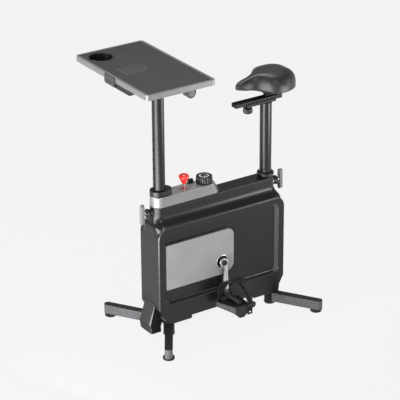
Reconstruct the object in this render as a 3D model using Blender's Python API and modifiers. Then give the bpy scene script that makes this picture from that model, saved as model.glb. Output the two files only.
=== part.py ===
# Folding desk exercise bike, modelled in metres.
# +X is the way the rider faces, +Y is the rider's left, +Z is up, the floor is z = 0.

import math

import bmesh
import bpy
from mathutils import Matrix, Vector

# Clearances
SEAT_GAP = 0.0003
RUNNING_GAP = 0.0004

# Posts and the tubes that guide them
FRONT_POST_X = 0.1976
POST_SPACING = 0.474
POST_RADIUS = 0.0225
POST_WALL = 0.002
PLUG_LENGTH = 0.030
GUIDE_WALL = 0.0025
DESK_POST_BOTTOM = 0.345
SADDLE_POST_BOTTOM = 0.330
POST_HOLE_COUNT = 6
POST_HOLE_PITCH = 0.037
POST_HOLE_RADIUS = 0.0045
POST_LOWEST_HOLE_Z = 0.591

# Housing
HOUSING_OVERHANG = 0.0457
HOUSING_HALF_WIDTH = 0.0645
HOUSING_TOP = 0.447
HOUSING_WALL = 0.0025
SHOULDER_RADIUS = 0.045
EDGE_ROUND = 0.004
BELLY_Z = 0.0607
SKIRT_CLEARANCE = 0.001
SKIRT_LENGTH = 0.143
CORNER_CUT_TOP = 0.116
CORNER_CUT_BOTTOM = 0.060
CORNER_CUT_DEPTH = 0.030
NECK_TOP = 0.516
NECK_HALF_WIDTH = 0.034
NECK_FRONT_REACH = 0.036
NECK_REAR_REACH = 0.030
NECK_FLARE = 0.0265
NECK_END_FLARE = 0.008

# Recess in each side of the housing
RECESS_MARGIN = 0.028
RECESS_LOW = 0.130
RECESS_HIGH = 0.422
RECESS_DEPTH = 0.013
RECESS_CORNER = 0.022
RECESS_FRONT_SLOPE = 0.003
RECESS_REAR_SLOPE = 0.020
RECESS_BOTTOM_SLOPE = 0.015
RECESS_TOP_SLOPE = 0.006

# Silver side plates
PLATE_LENGTH = 0.300
PLATE_FRONT_MARGIN = 0.0332
PLATE_LOW = 0.1915
PLATE_HIGH = 0.3735
PLATE_STAND = 0.0105
PLATE_SKIN = 0.0025
PLATE_TOP_CORNER = 0.030
PLATE_LOW_CUT_X = 0.053
PLATE_LOW_CUT_Z = 0.034

# Crank, pedals and straps
CRANK_BEHIND_POST = 0.236
CRANK_Z = 0.244
CRANK_LENGTH = 0.132
CRANK_HOLE_RADIUS = 0.0235
CRANK_TILT_DEG = 4.9
AXLE_RADIUS = 0.010
ARM_THICKNESS = 0.010
ARM_CLEARANCE = 0.0018
ARM_BOSS_RADIUS = 0.017
ARM_ROOT_HALF_WIDTH = 0.0125
ARM_TIP_RADIUS = 0.0095
CRANK_BOLT_RADIUS = 0.0115
CRANK_BOLT_HEIGHT = 0.0045
SPINDLE_RADIUS = 0.006
PEDAL_INNER_Y = 0.088
PEDAL_WIDTH = 0.090
PEDAL_TREAD_DROP = 0.010
PEDAL_BOSS_RADIUS = 0.0105
PEDAL_KEEL_DROP = 0.060
PEDAL_BAR_DROP = 0.035
PEDAL_FRONT_REACH = 0.058
PEDAL_FRONT_TAPER = 0.030
PEDAL_REAR_REACH = 0.045
PEDAL_REAR_TAPER = 0.010
PEDAL_BAR_SLOPE = 0.003
KEEL_STEP = 0.002
KEEL_REACH = 0.030
KEEL_FRONT_TAPER = 0.0204
KEEL_REAR_TAPER = 0.0187
STRAP_HEIGHT = 0.083
STRAP_THICKNESS = 0.0025
STRAP_INNER_AHEAD = 0.0405
STRAP_SWEEP = 0.0815
STRAP_BOW = 0.007
STRAP_END_HALF = 0.0085
STRAP_END_GAIN = 0.003
STRAP_MIDDLE_GAIN = 0.078
STRAP_INNER_DROP = 0.022
STRAP_TAIL_DROP = 0.053
STRAP_SLOT_X = 0.035
STRAP_SLOT_DROP = 0.04325
STRAP_SLOT_LENGTH = 0.009
STRAP_SLOT_HEIGHT = 0.0065
BUCKLE_X = 0.045
BUCKLE_DROP = 0.014
BUCKLE_RADIUS = 0.0125
BUCKLE_HEIGHT = 0.006

# Flywheel drive
FLYWHEEL_BEHIND_POST = 0.122
FLYWHEEL_Z = 0.280
FLYWHEEL_RADIUS = 0.085
FLYWHEEL_WIDTH = 0.022
FLYWHEEL_Y = -0.016
FLYWHEEL_AXLE_RADIUS = 0.008
DRIVE_RATIO = 4
DRIVE_PULLEY_RADIUS = 0.080
PULLEY_WIDTH = 0.012
BELT_LINE_Y = 0.014
BELT_THICKNESS = 0.002
BELT_WIDTH = 0.009
FRAME_PLATE = 0.004
FRAME_LEFT_Y = 0.034
FRAME_RIGHT_Y = -0.038
BEARING_RADIUS = 0.0175
MAGNET_PIN_RADIUS = 0.004
MAGNET_STAND = 0.007
MAGNET_THICKNESS = 0.010

# Base and swing legs
BEAM_HEIGHT = 0.040
BEAM_WIDTH = 0.040
BEAM_WALL = 0.003
BEAM_REACH = 0.012
LEG_PIVOT_INSET = 0.0517
LEG_PIVOT_Y = 0.045
LEG_SPLAY_DEG = 33.0
LEG_LENGTH = 0.191
LEG_WIDTH = 0.030
LEG_HEIGHT = 0.0362
LEG_ROOT_RADIUS = 0.021
PIVOT_FOOT_RADIUS = 0.022
FOOT_RADIUS = 0.022
FOOT_HEIGHT = 0.010
HINGE_PIN_RADIUS = 0.008
BRACKET_HEIGHT = 0.0170
BRACKET_RADIUS = 0.0165

# Toe blocks at the two ends of the housing
TOE_TOP = 0.132
TOE_SEAM_Z = 0.050
TOE_BOTTOM = 0.013
TOE_REACH = 0.0293
TOE_BOTTOM_REACH = 0.0228
TOE_TOP_HALF_WIDTH = 0.034
TOE_LOW_HALF_WIDTH = 0.0405
TOE_INNER_DEPTH = 0.020

# Console and collars
CONSOLE_REAR_CENTER_BEHIND_POST = 0.2215
CONSOLE_REAR_RAKE = 0.0185
CONSOLE_HEIGHT = 0.0402
CONSOLE_WALL = 0.0025
COLLAR_RADIUS = 0.030
COLLAR_HEIGHT = 0.021
COLLAR_FORWARD = 0.006
COLLAR_REACH = 0.019
REAR_COLLAR_RADIUS = 0.0325
REAR_COLLAR_HEIGHT = 0.0180

# Controls
BRAKE_KNOB_BEHIND_POST = 0.108
BRAKE_KNOB_RADIUS = 0.0185
BRAKE_KNOB_LOW = 0.573
BRAKE_KNOB_HEIGHT = 0.0385
BRAKE_STEM_RADIUS = 0.004
BRAKE_STEM_DEPTH = 0.020
BRAKE_PAD_GAP = 0.0015
BRAKE_TRAVEL = 0.012
PAD_LENGTH = 0.040
PAD_HEIGHT = 0.012
PAD_RIGHT_REACH = 0.010
PAD_LEFT_REACH = 0.022
DIAL_BEHIND_POST = 0.197
DIAL_RADIUS = 0.031
DIAL_HEIGHT = 0.0232
DIAL_BASE_HEIGHT = 0.003
DIAL_FLUTES = 12
DIAL_FLUTE_DEPTH = 0.0013
DIAL_SHAFT_RADIUS = 0.004
DIAL_SHAFT_BOTTOM = 0.405
SWITCH_BEHIND_POST = 0.152
SWITCH_Y = -0.0245
SWITCH_LENGTH = 0.020
SWITCH_WIDTH = 0.011
SWITCH_HEIGHT = 0.016
SWITCH_TRAVEL = 0.003
LOCK_BAR_LENGTH = 0.080
LOCK_BAR_THICKNESS = 0.0125
LOCK_BAR_WIDTH = 0.0165
LOCK_HUB_RADIUS = 0.018
LOCK_HUB_LENGTH = 0.014
LOCK_STEM_LENGTH = 0.0125
LOCK_HUB_STAND = 0.006
LOCK_SCREW_RADIUS = 0.005
NUT_BOSS_RADIUS = 0.012
FRONT_LOCK_Z = 0.494
REAR_LOCK_Z = 0.486

# Desk
DESK_TOP = 1.064
DESK_THICKNESS = 0.020
DESK_DEPTH = 0.2828
DESK_WIDTH = 0.4868
DESK_AHEAD_OF_POST = 0.1944
DESK_CORNER = 0.014
DESK_RIM = 0.010
RIM_INNER_RADIUS = 0.006
PANEL_DROP = 0.0015
DESK_TILT_AXIS_AHEAD = 0.0133
DESK_TILT_AXIS_DROP = 0.0095
CROSSBAR_RADIUS = 0.0065
HANGER_RADIUS = 0.0186
HANGER_WIDTH = 0.030
HEAD_RADIUS = 0.0088
HEAD_WIDTH = 0.068
HEAD_FOOT_HEIGHT = 0.020
CUP_AHEAD_OF_POST = 0.127
CUP_SIDE_MARGIN = 0.0674
CUP_RADIUS = 0.043
CUP_LIP = 0.004
CUP_DEPTH = 0.038
CUP_WALL = 0.0018
FLAP_HINGE_AHEAD = 0.143
FLAP_LENGTH = 0.100
FLAP_HALF_WIDTH = 0.037
FLAP_Y = -0.0085
FLAP_THICKNESS = 0.0037
LATCH_REACH = 0.004
LATCH_LEFT = 0.033
LATCH_RIGHT = -0.034
LATCH_HEIGHT = 0.036
LATCH_CORNER = 0.011
RELEASE_BAR_LENGTH = 0.0935
RELEASE_BAR_SIZE = 0.019
RELEASE_BAR_END_ROUND = 0.010
RELEASE_BAR_GAP = 0.003

# Saddle
SADDLE_NOSE_AHEAD_OF_POST = 0.135
SADDLE_LENGTH = 0.252
SADDLE_HALF_WIDTH = 0.087
SADDLE_CROWN = 0.082
SADDLE_RAIL_LOW = 0.8225
SADDLE_RAIL_HEIGHT = 0.016
SADDLE_RAIL_WIDTH = 0.031
SADDLE_RAIL_LENGTH = 0.207
SADDLE_RAIL_AHEAD_OF_POST = 0.144
SADDLE_BRACKET_LENGTH = 0.132
SADDLE_BRACKET_AHEAD_OF_POST = 0.099
SADDLE_BRACKET_WALL = 0.003
SADDLE_BRACKET_FLOOR = 0.006
SADDLE_PAN_THICKNESS = 0.005
SADDLE_STEM_HEIGHT = 0.0172
SADDLE_STEM_RADIUS = 0.010
CLAMP_KNOB_AHEAD_OF_POST = 0.082
CLAMP_KNOB_RADIUS = 0.018
CLAMP_KNOB_HEIGHT = 0.022
CLAMP_KNOB_NECK = 0.006
CLAMP_SCREW_RADIUS = 0.004

# Places worked out from the sizes above
REAR_POST_X = FRONT_POST_X - POST_SPACING
MIDDLE_X = (FRONT_POST_X + REAR_POST_X) / 2
HOUSING_FRONT = FRONT_POST_X + HOUSING_OVERHANG
HOUSING_REAR = REAR_POST_X - HOUSING_OVERHANG
GUIDE_INNER = POST_RADIUS + RUNNING_GAP
GUIDE_OUTER = GUIDE_INNER + GUIDE_WALL
LEG_BOTTOM = FOOT_HEIGHT + SEAT_GAP
LEG_TOP = LEG_BOTTOM + LEG_HEIGHT
SKIRT_Z = LEG_TOP + SKIRT_CLEARANCE
BRACKET_LOW = LEG_TOP + SEAT_GAP
BEAM_BOTTOM = BRACKET_LOW + BRACKET_HEIGHT + SEAT_GAP
BEAM_TOP = BEAM_BOTTOM + BEAM_HEIGHT
GUIDE_BOTTOM = BEAM_TOP + SEAT_GAP
CRANK_X = FRONT_POST_X - CRANK_BEHIND_POST
FLYWHEEL_X = FRONT_POST_X - FLYWHEEL_BEHIND_POST
SMALL_PULLEY_RADIUS = DRIVE_PULLEY_RADIUS / DRIVE_RATIO
ARM_INNER_Y = HOUSING_HALF_WIDTH + ARM_CLEARANCE
ARM_OUTER_Y = ARM_INNER_Y + ARM_THICKNESS
CONSOLE_LOW = NECK_TOP + SEAT_GAP
CONSOLE_TOP = CONSOLE_LOW + CONSOLE_HEIGHT
NECK_FRONT = FRONT_POST_X + NECK_FRONT_REACH
NECK_REAR = REAR_POST_X - NECK_REAR_REACH
BRAKE_KNOB_X = FRONT_POST_X - BRAKE_KNOB_BEHIND_POST
DIAL_X = FRONT_POST_X - DIAL_BEHIND_POST
SWITCH_X = FRONT_POST_X - SWITCH_BEHIND_POST
DESK_FRONT = FRONT_POST_X + DESK_AHEAD_OF_POST
DESK_REAR = DESK_FRONT - DESK_DEPTH
DESK_BOTTOM = DESK_TOP - DESK_THICKNESS
TILT_X = FRONT_POST_X + DESK_TILT_AXIS_AHEAD
TILT_Z = DESK_BOTTOM - DESK_TILT_AXIS_DROP
DESK_POST_TOP = TILT_Z - HEAD_RADIUS - HEAD_FOOT_HEIGHT
PANEL_TOP = DESK_TOP - PANEL_DROP
FLAP_HINGE_X = FRONT_POST_X + FLAP_HINGE_AHEAD
FLAP_HINGE_Z = PANEL_TOP - FLAP_THICKNESS / 2
CUP_X = FRONT_POST_X + CUP_AHEAD_OF_POST
CUP_Y = CUP_SIDE_MARGIN - DESK_WIDTH / 2
SADDLE_BRACKET_LOW = SADDLE_RAIL_LOW - SEAT_GAP - SADDLE_BRACKET_FLOOR
SADDLE_POST_TOP = SADDLE_BRACKET_LOW - SEAT_GAP
SADDLE_PAN_LOW = SADDLE_RAIL_LOW + SADDLE_RAIL_HEIGHT + SADDLE_STEM_HEIGHT + SEAT_GAP
SADDLE_NOSE_X = REAR_POST_X + SADDLE_NOSE_AHEAD_OF_POST
CLAMP_KNOB_X = REAR_POST_X + CLAMP_KNOB_AHEAD_OF_POST


# Scene and materials

for old in list(bpy.data.objects):
    bpy.data.objects.remove(old, do_unlink=True)


def new_collection(name):
    collection = bpy.data.collections.new(name)
    bpy.context.scene.collection.children.link(collection)
    return collection


bike = new_collection("folding_desk_bike")
cutters = new_collection("cutters")


def make_material(name, color, roughness, metallic):
    material = bpy.data.materials.new(name)
    material.use_nodes = True
    shader = material.node_tree.nodes["Principled BSDF"]
    shader.inputs["Base Color"].default_value = (*color, 1.0)
    shader.inputs["Roughness"].default_value = roughness
    shader.inputs["Metallic"].default_value = metallic
    material.diffuse_color = (*color, 1.0)
    return material


housing_black = make_material("housing_black", (0.045, 0.046, 0.048), 0.55, 0.0)
toe_black = make_material("toe_black", (0.060, 0.061, 0.063), 0.5, 0.0)
plate_silver = make_material("plate_silver", (0.38, 0.38, 0.39), 0.35, 0.6)
post_black = make_material("post_black", (0.050, 0.050, 0.052), 0.35, 0.5)
frame_steel = make_material("frame_steel", (0.25, 0.25, 0.26), 0.45, 0.8)
leg_grey = make_material("leg_grey", (0.17, 0.17, 0.175), 0.4, 0.4)
rubber_black = make_material("rubber_black", (0.02, 0.02, 0.02), 0.8, 0.0)
trim_black = make_material("trim_black", (0.025, 0.025, 0.027), 0.45, 0.0)
bright_metal = make_material("bright_metal", (0.72, 0.72, 0.73), 0.22, 1.0)
knob_red = make_material("knob_red", (0.72, 0.02, 0.02), 0.25, 0.0)
desk_charcoal = make_material("desk_charcoal", (0.075, 0.076, 0.080), 0.5, 0.0)
desk_rim_grey = make_material("desk_rim_grey", (0.30, 0.30, 0.31), 0.35, 0.6)
latch_grey = make_material("latch_grey", (0.22, 0.22, 0.23), 0.45, 0.1)
saddle_slate = make_material("saddle_slate", (0.032, 0.032, 0.037), 0.5, 0.0)


# Shape helpers

def arc_points(center, radius, start, end, steps):
    angles = [math.radians(start + (end - start) * i / steps) for i in range(steps + 1)]
    return [(center[0] + radius * math.cos(a), center[1] + radius * math.sin(a)) for a in angles]


def circle_points(center, radius, steps):
    return arc_points(center, radius, 0, 360, steps)[:-1]


def rounded_rectangle(low, high, radius, steps=4):
    x0, y0 = low
    x1, y1 = high
    loop = arc_points((x1 - radius, y1 - radius), radius, 0, 90, steps)
    loop += arc_points((x0 + radius, y1 - radius), radius, 90, 180, steps)
    loop += arc_points((x0 + radius, y0 + radius), radius, 180, 270, steps)
    loop += arc_points((x1 - radius, y0 + radius), radius, 270, 360, steps)
    return loop


def mirrored_loop(points, middle):
    return points + [(2 * middle - x, z) for x, z in reversed(points)]


PLANES = {
    "XY": Matrix(((1, 0, 0, 0), (0, 1, 0, 0), (0, 0, 1, 0), (0, 0, 0, 1))),
    "XZ": Matrix(((1, 0, 0, 0), (0, 0, 1, 0), (0, 1, 0, 0), (0, 0, 0, 1))),
    "YZ": Matrix(((0, 0, 1, 0), (1, 0, 0, 0), (0, 1, 0, 0), (0, 0, 0, 1))),
}
AXIS_TURNS = {
    "X": Matrix.Rotation(math.pi / 2, 4, "Y"),
    "Y": Matrix.Rotation(-math.pi / 2, 4, "X"),
    "Z": Matrix.Identity(4),
}


def face_outward(shape):
    shape.normal_update()
    bmesh.ops.recalc_face_normals(shape, faces=shape.faces)
    if shape.calc_volume(signed=True) < 0:
        bmesh.ops.reverse_faces(shape, faces=shape.faces)
    return shape


def evaluated_bmesh(helper):
    bpy.context.scene.collection.objects.link(helper)
    graph = bpy.context.evaluated_depsgraph_get()
    mesh = bpy.data.meshes.new_from_object(helper.evaluated_get(graph))
    shape = bmesh.new()
    shape.from_mesh(mesh)
    shape.transform(helper.matrix_world)
    bpy.data.meshes.remove(mesh)
    bpy.data.objects.remove(helper, do_unlink=True)
    bmesh.ops.remove_doubles(shape, verts=shape.verts, dist=0.000002)
    return shape


# A flat outline with optional holes, extruded from low to high along the plane's normal
def slab(loops, low, high, plane):
    curve = bpy.data.curves.new("outline", "CURVE")
    curve.dimensions = "2D"
    curve.fill_mode = "BOTH"
    curve.extrude = (high - low) / 2
    for loop in loops:
        spline = curve.splines.new("POLY")
        spline.points.add(len(loop) - 1)
        for point, (a, b) in zip(spline.points, loop):
            point.co = (a, b, 0, 1)
        spline.use_cyclic_u = True
    helper = bpy.data.objects.new("outline", curve)
    shape = evaluated_bmesh(helper)
    shape.transform(PLANES[plane] @ Matrix.Translation((0, 0, (low + high) / 2)))
    return face_outward(shape)


# A profile of (radius, height) points turned about an axis through the base point
def turned(profile, base, axis="Z", steps=24, closed=False):
    mesh = bpy.data.meshes.new("profile")
    links = [(i, i + 1) for i in range(len(profile) - 1)]
    if closed:
        links.append((len(profile) - 1, 0))
    mesh.from_pydata([(radius, 0, height) for radius, height in profile], links, [])
    helper = bpy.data.objects.new("profile", mesh)
    screw = helper.modifiers.new("turn", "SCREW")
    screw.steps = steps
    screw.render_steps = steps
    screw.use_merge_vertices = True
    screw.merge_threshold = 0.00001
    shape = evaluated_bmesh(helper)
    shape.transform(Matrix.Translation(base) @ AXIS_TURNS[axis])
    return face_outward(shape)


def rod(radius, low, high, center, axis="Z", steps=20):
    profile = [(0, high), (radius, high), (radius, low), (0, low)]
    return turned(profile, center, axis, steps)


def ring(outer, inner, low, high, center, axis="Z", steps=24):
    profile = [(outer, high), (outer, low), (inner, low), (inner, high)]
    return turned(profile, center, axis, steps, closed=True)


def box(low, high):
    shape = bmesh.new()
    bmesh.ops.create_cube(shape, size=1.0)
    size = Vector(high) - Vector(low)
    middle = (Vector(high) + Vector(low)) / 2
    shape.transform(Matrix.Translation(middle) @ Matrix.Diagonal((*size, 1.0)))
    return shape


# Rings of equal count, joined side by side and closed at both ends
def loft(rings):
    shape = bmesh.new()
    loops = [[shape.verts.new(point) for point in points] for points in rings]
    for lower, upper in zip(loops, loops[1:]):
        count = len(lower)
        for i in range(count):
            j = (i + 1) % count
            shape.faces.new((lower[i], lower[j], upper[j], upper[i]))
    shape.faces.new(list(reversed(loops[0])))
    shape.faces.new(loops[-1])
    return face_outward(shape)


def bevel_edges(shape, width, chosen, segments=2):
    edges = [edge for edge in shape.edges if chosen(edge)]
    bmesh.ops.bevel(shape, geom=edges, offset=width, segments=segments, profile=0.5,
                    affect="EDGES", clamp_overlap=True)


def sharp(edge, degrees=50):
    return len(edge.link_faces) == 2 and edge.calc_face_angle(0) > math.radians(degrees)


def edge_on(axis, value):
    def chosen(edge):
        return sharp(edge) and all(abs(vert.co[axis] - value) < 0.00001 for vert in edge.verts)
    return chosen


def flip_side(shape):
    shape.transform(Matrix.Diagonal((1, -1, 1, 1)))
    bmesh.ops.reverse_faces(shape, faces=shape.faces)
    return shape


def mesh_object(name, shape, collection, origin=(0, 0, 0)):
    mesh = bpy.data.meshes.new(name)
    shape.transform(Matrix.Translation(-Vector(origin)))
    shape.to_mesh(mesh)
    shape.free()
    mesh.shade_smooth()
    mesh.set_sharp_from_angle(angle=math.radians(35))
    made = bpy.data.objects.new(name, mesh)
    made.location = origin
    collection.objects.link(made)
    return made


# One named piece: a shape, then what is joined to it, then what is cut from it
def piece(name, shape, material, origin=(0, 0, 0), joined=(), cut=()):
    made = mesh_object(name, shape, bike, origin)
    made.data.materials.append(material)
    for operation, others in (("UNION", joined), ("DIFFERENCE", cut)):
        for number, other in enumerate(others):
            tool = mesh_object(f"{name}_{operation.lower()}_{number}", other, cutters)
            tool.hide_render = True
            tool.display_type = "WIRE"
            modifier = made.modifiers.new(tool.name, "BOOLEAN")
            modifier.operation = operation
            modifier.solver = "EXACT"
            modifier.object = tool
    return made


def hold(parent, *children):
    bpy.context.view_layer.update()
    for child in children:
        child.parent = parent
        child.matrix_parent_inverse = parent.matrix_world.inverted()


# Housing shells

def corner_cut_line(inset):
    top = Vector((HOUSING_FRONT, CORNER_CUT_TOP))
    bottom = Vector((HOUSING_FRONT - CORNER_CUT_DEPTH, CORNER_CUT_BOTTOM))
    along = (bottom - top).normalized()
    inward = Vector((along.y, -along.x))
    start = top + inward * inset

    def point_at(x):
        return x, start.y + along.y * (x - start.x) / along.x
    return point_at(HOUSING_FRONT - inset), point_at(HOUSING_FRONT - CORNER_CUT_DEPTH - inset)


# Side outline of the housing, drawn in by an inset
def housing_outline(inset):
    radius = SHOULDER_RADIUS - inset
    center = (HOUSING_FRONT - SHOULDER_RADIUS, HOUSING_TOP - SHOULDER_RADIUS)
    upper, lower = corner_cut_line(inset)
    foot = SKIRT_Z + inset
    step = HOUSING_FRONT - SKIRT_LENGTH + inset
    half = list(reversed(arc_points(center, radius, 0, 90, 6)))
    half += [upper, lower, (lower[0], foot), (step + 0.006, foot), (step, foot + 0.006)]
    half += [(step, BELLY_Z + inset)]
    return mirrored_loop(half, MIDDLE_X)


def neck_rings(wall, top):
    flare = [(HOUSING_TOP - 0.017, 1.0), (HOUSING_TOP - 0.0005, 1.0), (HOUSING_TOP + 0.005, 0.52),
             (HOUSING_TOP + 0.014, 0.22), (HOUSING_TOP + 0.028, 0.05), (HOUSING_TOP + 0.043, 0.0),
             (top - 0.002, 0.0), (top, -0.06)]
    rings = []
    for z, share in flare:
        half_width = NECK_HALF_WIDTH - wall + NECK_FLARE * share
        reach = NECK_END_FLARE * share - wall
        low = (NECK_REAR - reach, -half_width)
        high = (NECK_FRONT + reach, half_width)
        loop = rounded_rectangle(low, high, min(half_width, NECK_HALF_WIDTH) - 0.0002, 5)
        rings.append([(x, y, z) for x, y in loop])
    return rings


# Rings from the surface of a recess down to its floor, wider all round by an extra
def recess_rings(extra):
    low_x = HOUSING_REAR + RECESS_MARGIN - extra
    high_x = HOUSING_FRONT - RECESS_MARGIN + extra
    low_z = RECESS_LOW - extra
    high_z = RECESS_HIGH + extra
    mouth = rounded_rectangle((low_x, low_z), (high_x, high_z), RECESS_CORNER + extra, 4)
    floor_low = (low_x + RECESS_REAR_SLOPE, low_z + RECESS_BOTTOM_SLOPE)
    floor_high = (high_x - RECESS_FRONT_SLOPE, high_z - RECESS_TOP_SLOPE)
    floor = rounded_rectangle(floor_low, floor_high, RECESS_CORNER + extra, 4)
    floor_y = HOUSING_HALF_WIDTH - RECESS_DEPTH - extra
    beyond = HOUSING_HALF_WIDTH + 0.010
    return [[(x, floor_y, z) for x, z in floor],
            [(x, HOUSING_HALF_WIDTH, z) for x, z in mouth],
            [(x, beyond, z) for x, z in mouth]]


def bracket_outline(extra):
    radius = BRACKET_RADIUS + extra
    return [arc_points((0, LEG_PIVOT_Y), radius, 0, 180, 8) + arc_points((0, -LEG_PIVOT_Y), radius, 180, 360, 8)]


def leg_pivot_xs():
    return HOUSING_FRONT - LEG_PIVOT_INSET, HOUSING_REAR + LEG_PIVOT_INSET


def shifted(loops, dx, dy=0):
    return [[(x + dx, y + dy) for x, y in loop] for loop in loops]


def shell_cuts():
    cavity_y = HOUSING_HALF_WIDTH - HOUSING_WALL
    inside = slab([housing_outline(HOUSING_WALL)], -0.1, cavity_y, "XZ")
    neck_inside = loft(neck_rings(HOUSING_WALL, NECK_TOP - HOUSING_WALL))
    recess_wall = loft(recess_rings(HOUSING_WALL))
    recess_tool = mesh_object("recess_wall", recess_wall, cutters)
    inside_tool = mesh_object("inside", inside, cutters)
    for tool in (recess_tool, inside_tool):
        tool.hide_render = True
        tool.display_type = "WIRE"
    modifier = inside_tool.modifiers.new("recess_wall", "BOOLEAN")
    modifier.operation = "DIFFERENCE"
    modifier.object = recess_tool
    graph = bpy.context.evaluated_depsgraph_get()
    hollow = bmesh.new()
    mesh = bpy.data.meshes.new_from_object(inside_tool.evaluated_get(graph))
    hollow.from_mesh(mesh)
    bpy.data.meshes.remove(mesh)
    for tool in (recess_tool, inside_tool):
        bpy.data.objects.remove(tool, do_unlink=True)
    cuts = [loft(recess_rings(0)), hollow, neck_inside]
    cuts.append(rod(CRANK_HOLE_RADIUS, 0, 0.1, (CRANK_X, 0, CRANK_Z), "Y"))
    for pivot_x in leg_pivot_xs():
        loops = shifted(bracket_outline(SEAT_GAP), pivot_x)
        cuts.append(slab(loops, SKIRT_Z - 0.02, BEAM_BOTTOM + 0.001, "XY"))
    for post_x in (FRONT_POST_X, REAR_POST_X):
        cuts.append(rod(GUIDE_OUTER + SEAT_GAP, NECK_TOP - 0.01, NECK_TOP + 0.01, (post_x, 0, 0), steps=24))
    for control_x, radius in ((BRAKE_KNOB_X, BRAKE_STEM_RADIUS), (DIAL_X, DIAL_SHAFT_RADIUS)):
        cuts.append(rod(radius + 0.0012, NECK_TOP - 0.01, NECK_TOP + 0.01, (control_x, 0, 0), steps=12))
    boss_hole = NUT_BOSS_RADIUS + SEAT_GAP
    cuts.append(rod(boss_hole, 0, NECK_FRONT_REACH + 0.024, (FRONT_POST_X, 0, FRONT_LOCK_Z), "X"))
    cuts.append(rod(boss_hole, -NECK_REAR_REACH - 0.030, 0, (REAR_POST_X, 0, REAR_LOCK_Z), "X"))
    return cuts


def make_shell(name, side):
    past_middle = -0.02
    outer = slab([housing_outline(0)], past_middle, HOUSING_HALF_WIDTH, "XZ")
    bevel_edges(outer, EDGE_ROUND, edge_on(1, HOUSING_HALF_WIDTH), 1)
    neck = loft(neck_rings(0, NECK_TOP))
    other_half = box((HOUSING_REAR - 0.1, -0.2, -0.1), (HOUSING_FRONT + 0.1, SEAT_GAP / 2, 0.6))
    shapes = [outer, neck] + shell_cuts() + [other_half]
    if side < 0:
        shapes = [flip_side(shape) for shape in shapes]
    return piece(name, shapes[0], housing_black, joined=shapes[1:2], cut=shapes[2:])


# Silver plates let into the recesses

def plate_outline(inset):
    front = HOUSING_FRONT - PLATE_FRONT_MARGIN - inset
    rear = HOUSING_FRONT - PLATE_FRONT_MARGIN - PLATE_LENGTH + inset
    low = PLATE_LOW + inset
    high = PLATE_HIGH - inset
    corner = PLATE_TOP_CORNER - inset
    loop = arc_points((front - 0.004, high - 0.004), 0.004, 0, 90, 2)
    loop += arc_points((rear + corner, high - corner), corner, 90, 180, 8)
    loop += [(rear, low + PLATE_LOW_CUT_Z), (rear + 0.018, low + 0.012), (rear + PLATE_LOW_CUT_X, low)]
    loop += arc_points((front - 0.004, low + 0.004), 0.004, 270, 360, 2)
    return loop


def make_side_plate(name, side):
    back = HOUSING_HALF_WIDTH - RECESS_DEPTH + SEAT_GAP
    face = back + PLATE_STAND
    plate = slab([plate_outline(0)], back, face, "XZ")
    bevel_edges(plate, 0.0015, edge_on(1, face), 1)
    pocket = slab([plate_outline(PLATE_SKIN)], back - 0.01, face - PLATE_SKIN, "XZ")
    hole = rod(CRANK_HOLE_RADIUS, 0, 0.1, (CRANK_X, 0, CRANK_Z), "Y")
    shapes = [plate, pocket, hole]
    if side < 0:
        shapes = [flip_side(shape) for shape in shapes]
    return piece(name, shapes[0], plate_silver, cut=shapes[1:])


# Tapered blocks that stand out of the housing's two ends

def make_toe_block(name, end):
    face = HOUSING_FRONT + SEAT_GAP
    upper, _ = corner_cut_line(-SEAT_GAP)
    inner_x = HOUSING_FRONT - TOE_INNER_DEPTH
    slope = (CORNER_CUT_TOP - CORNER_CUT_BOTTOM) / CORNER_CUT_DEPTH
    inner_z = upper[1] - slope * (upper[0] - inner_x)
    outline = [(face, TOE_TOP), (face, upper[1]), (inner_x, inner_z), (inner_x, TOE_BOTTOM),
               (HOUSING_FRONT + TOE_BOTTOM_REACH - 0.004, TOE_BOTTOM),
               (HOUSING_FRONT + TOE_BOTTOM_REACH, TOE_BOTTOM + 0.005),
               (HOUSING_FRONT + TOE_REACH, TOE_SEAM_Z), (face + 0.001, TOE_TOP)]
    block = slab([outline], -TOE_LOW_HALF_WIDTH, TOE_LOW_HALF_WIDTH, "XZ")
    for vert in block.verts:
        share = (vert.co.z - TOE_BOTTOM) / (TOE_TOP - TOE_BOTTOM)
        half = TOE_LOW_HALF_WIDTH + (TOE_TOP_HALF_WIDTH - TOE_LOW_HALF_WIDTH) * share
        vert.co.y *= half / TOE_LOW_HALF_WIDTH
    block.normal_update()
    bevel_edges(block, 0.003, lambda edge: sharp(edge, 40)
                and all(vert.co.x > HOUSING_FRONT + 0.003 for vert in edge.verts))
    if end < 0:
        block.transform(Matrix.Translation((2 * MIDDLE_X, 0, 0)) @ Matrix.Diagonal((-1, 1, 1, 1)))
        bmesh.ops.reverse_faces(block, faces=block.faces)
    return piece(name, block, toe_black)


# Frame inside the housing

def make_base_beam():
    half = BEAM_WIDTH / 2
    outer = [(-half, BEAM_BOTTOM), (half, BEAM_BOTTOM), (half, BEAM_TOP), (-half, BEAM_TOP)]
    inner = [(-half + BEAM_WALL, BEAM_BOTTOM + BEAM_WALL), (half - BEAM_WALL, BEAM_BOTTOM + BEAM_WALL),
             (half - BEAM_WALL, BEAM_TOP - BEAM_WALL), (-half + BEAM_WALL, BEAM_TOP - BEAM_WALL)]
    beam = slab([outer, inner], REAR_POST_X - BEAM_REACH, FRONT_POST_X + BEAM_REACH, "YZ")
    return piece("base_beam", beam, frame_steel)


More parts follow.
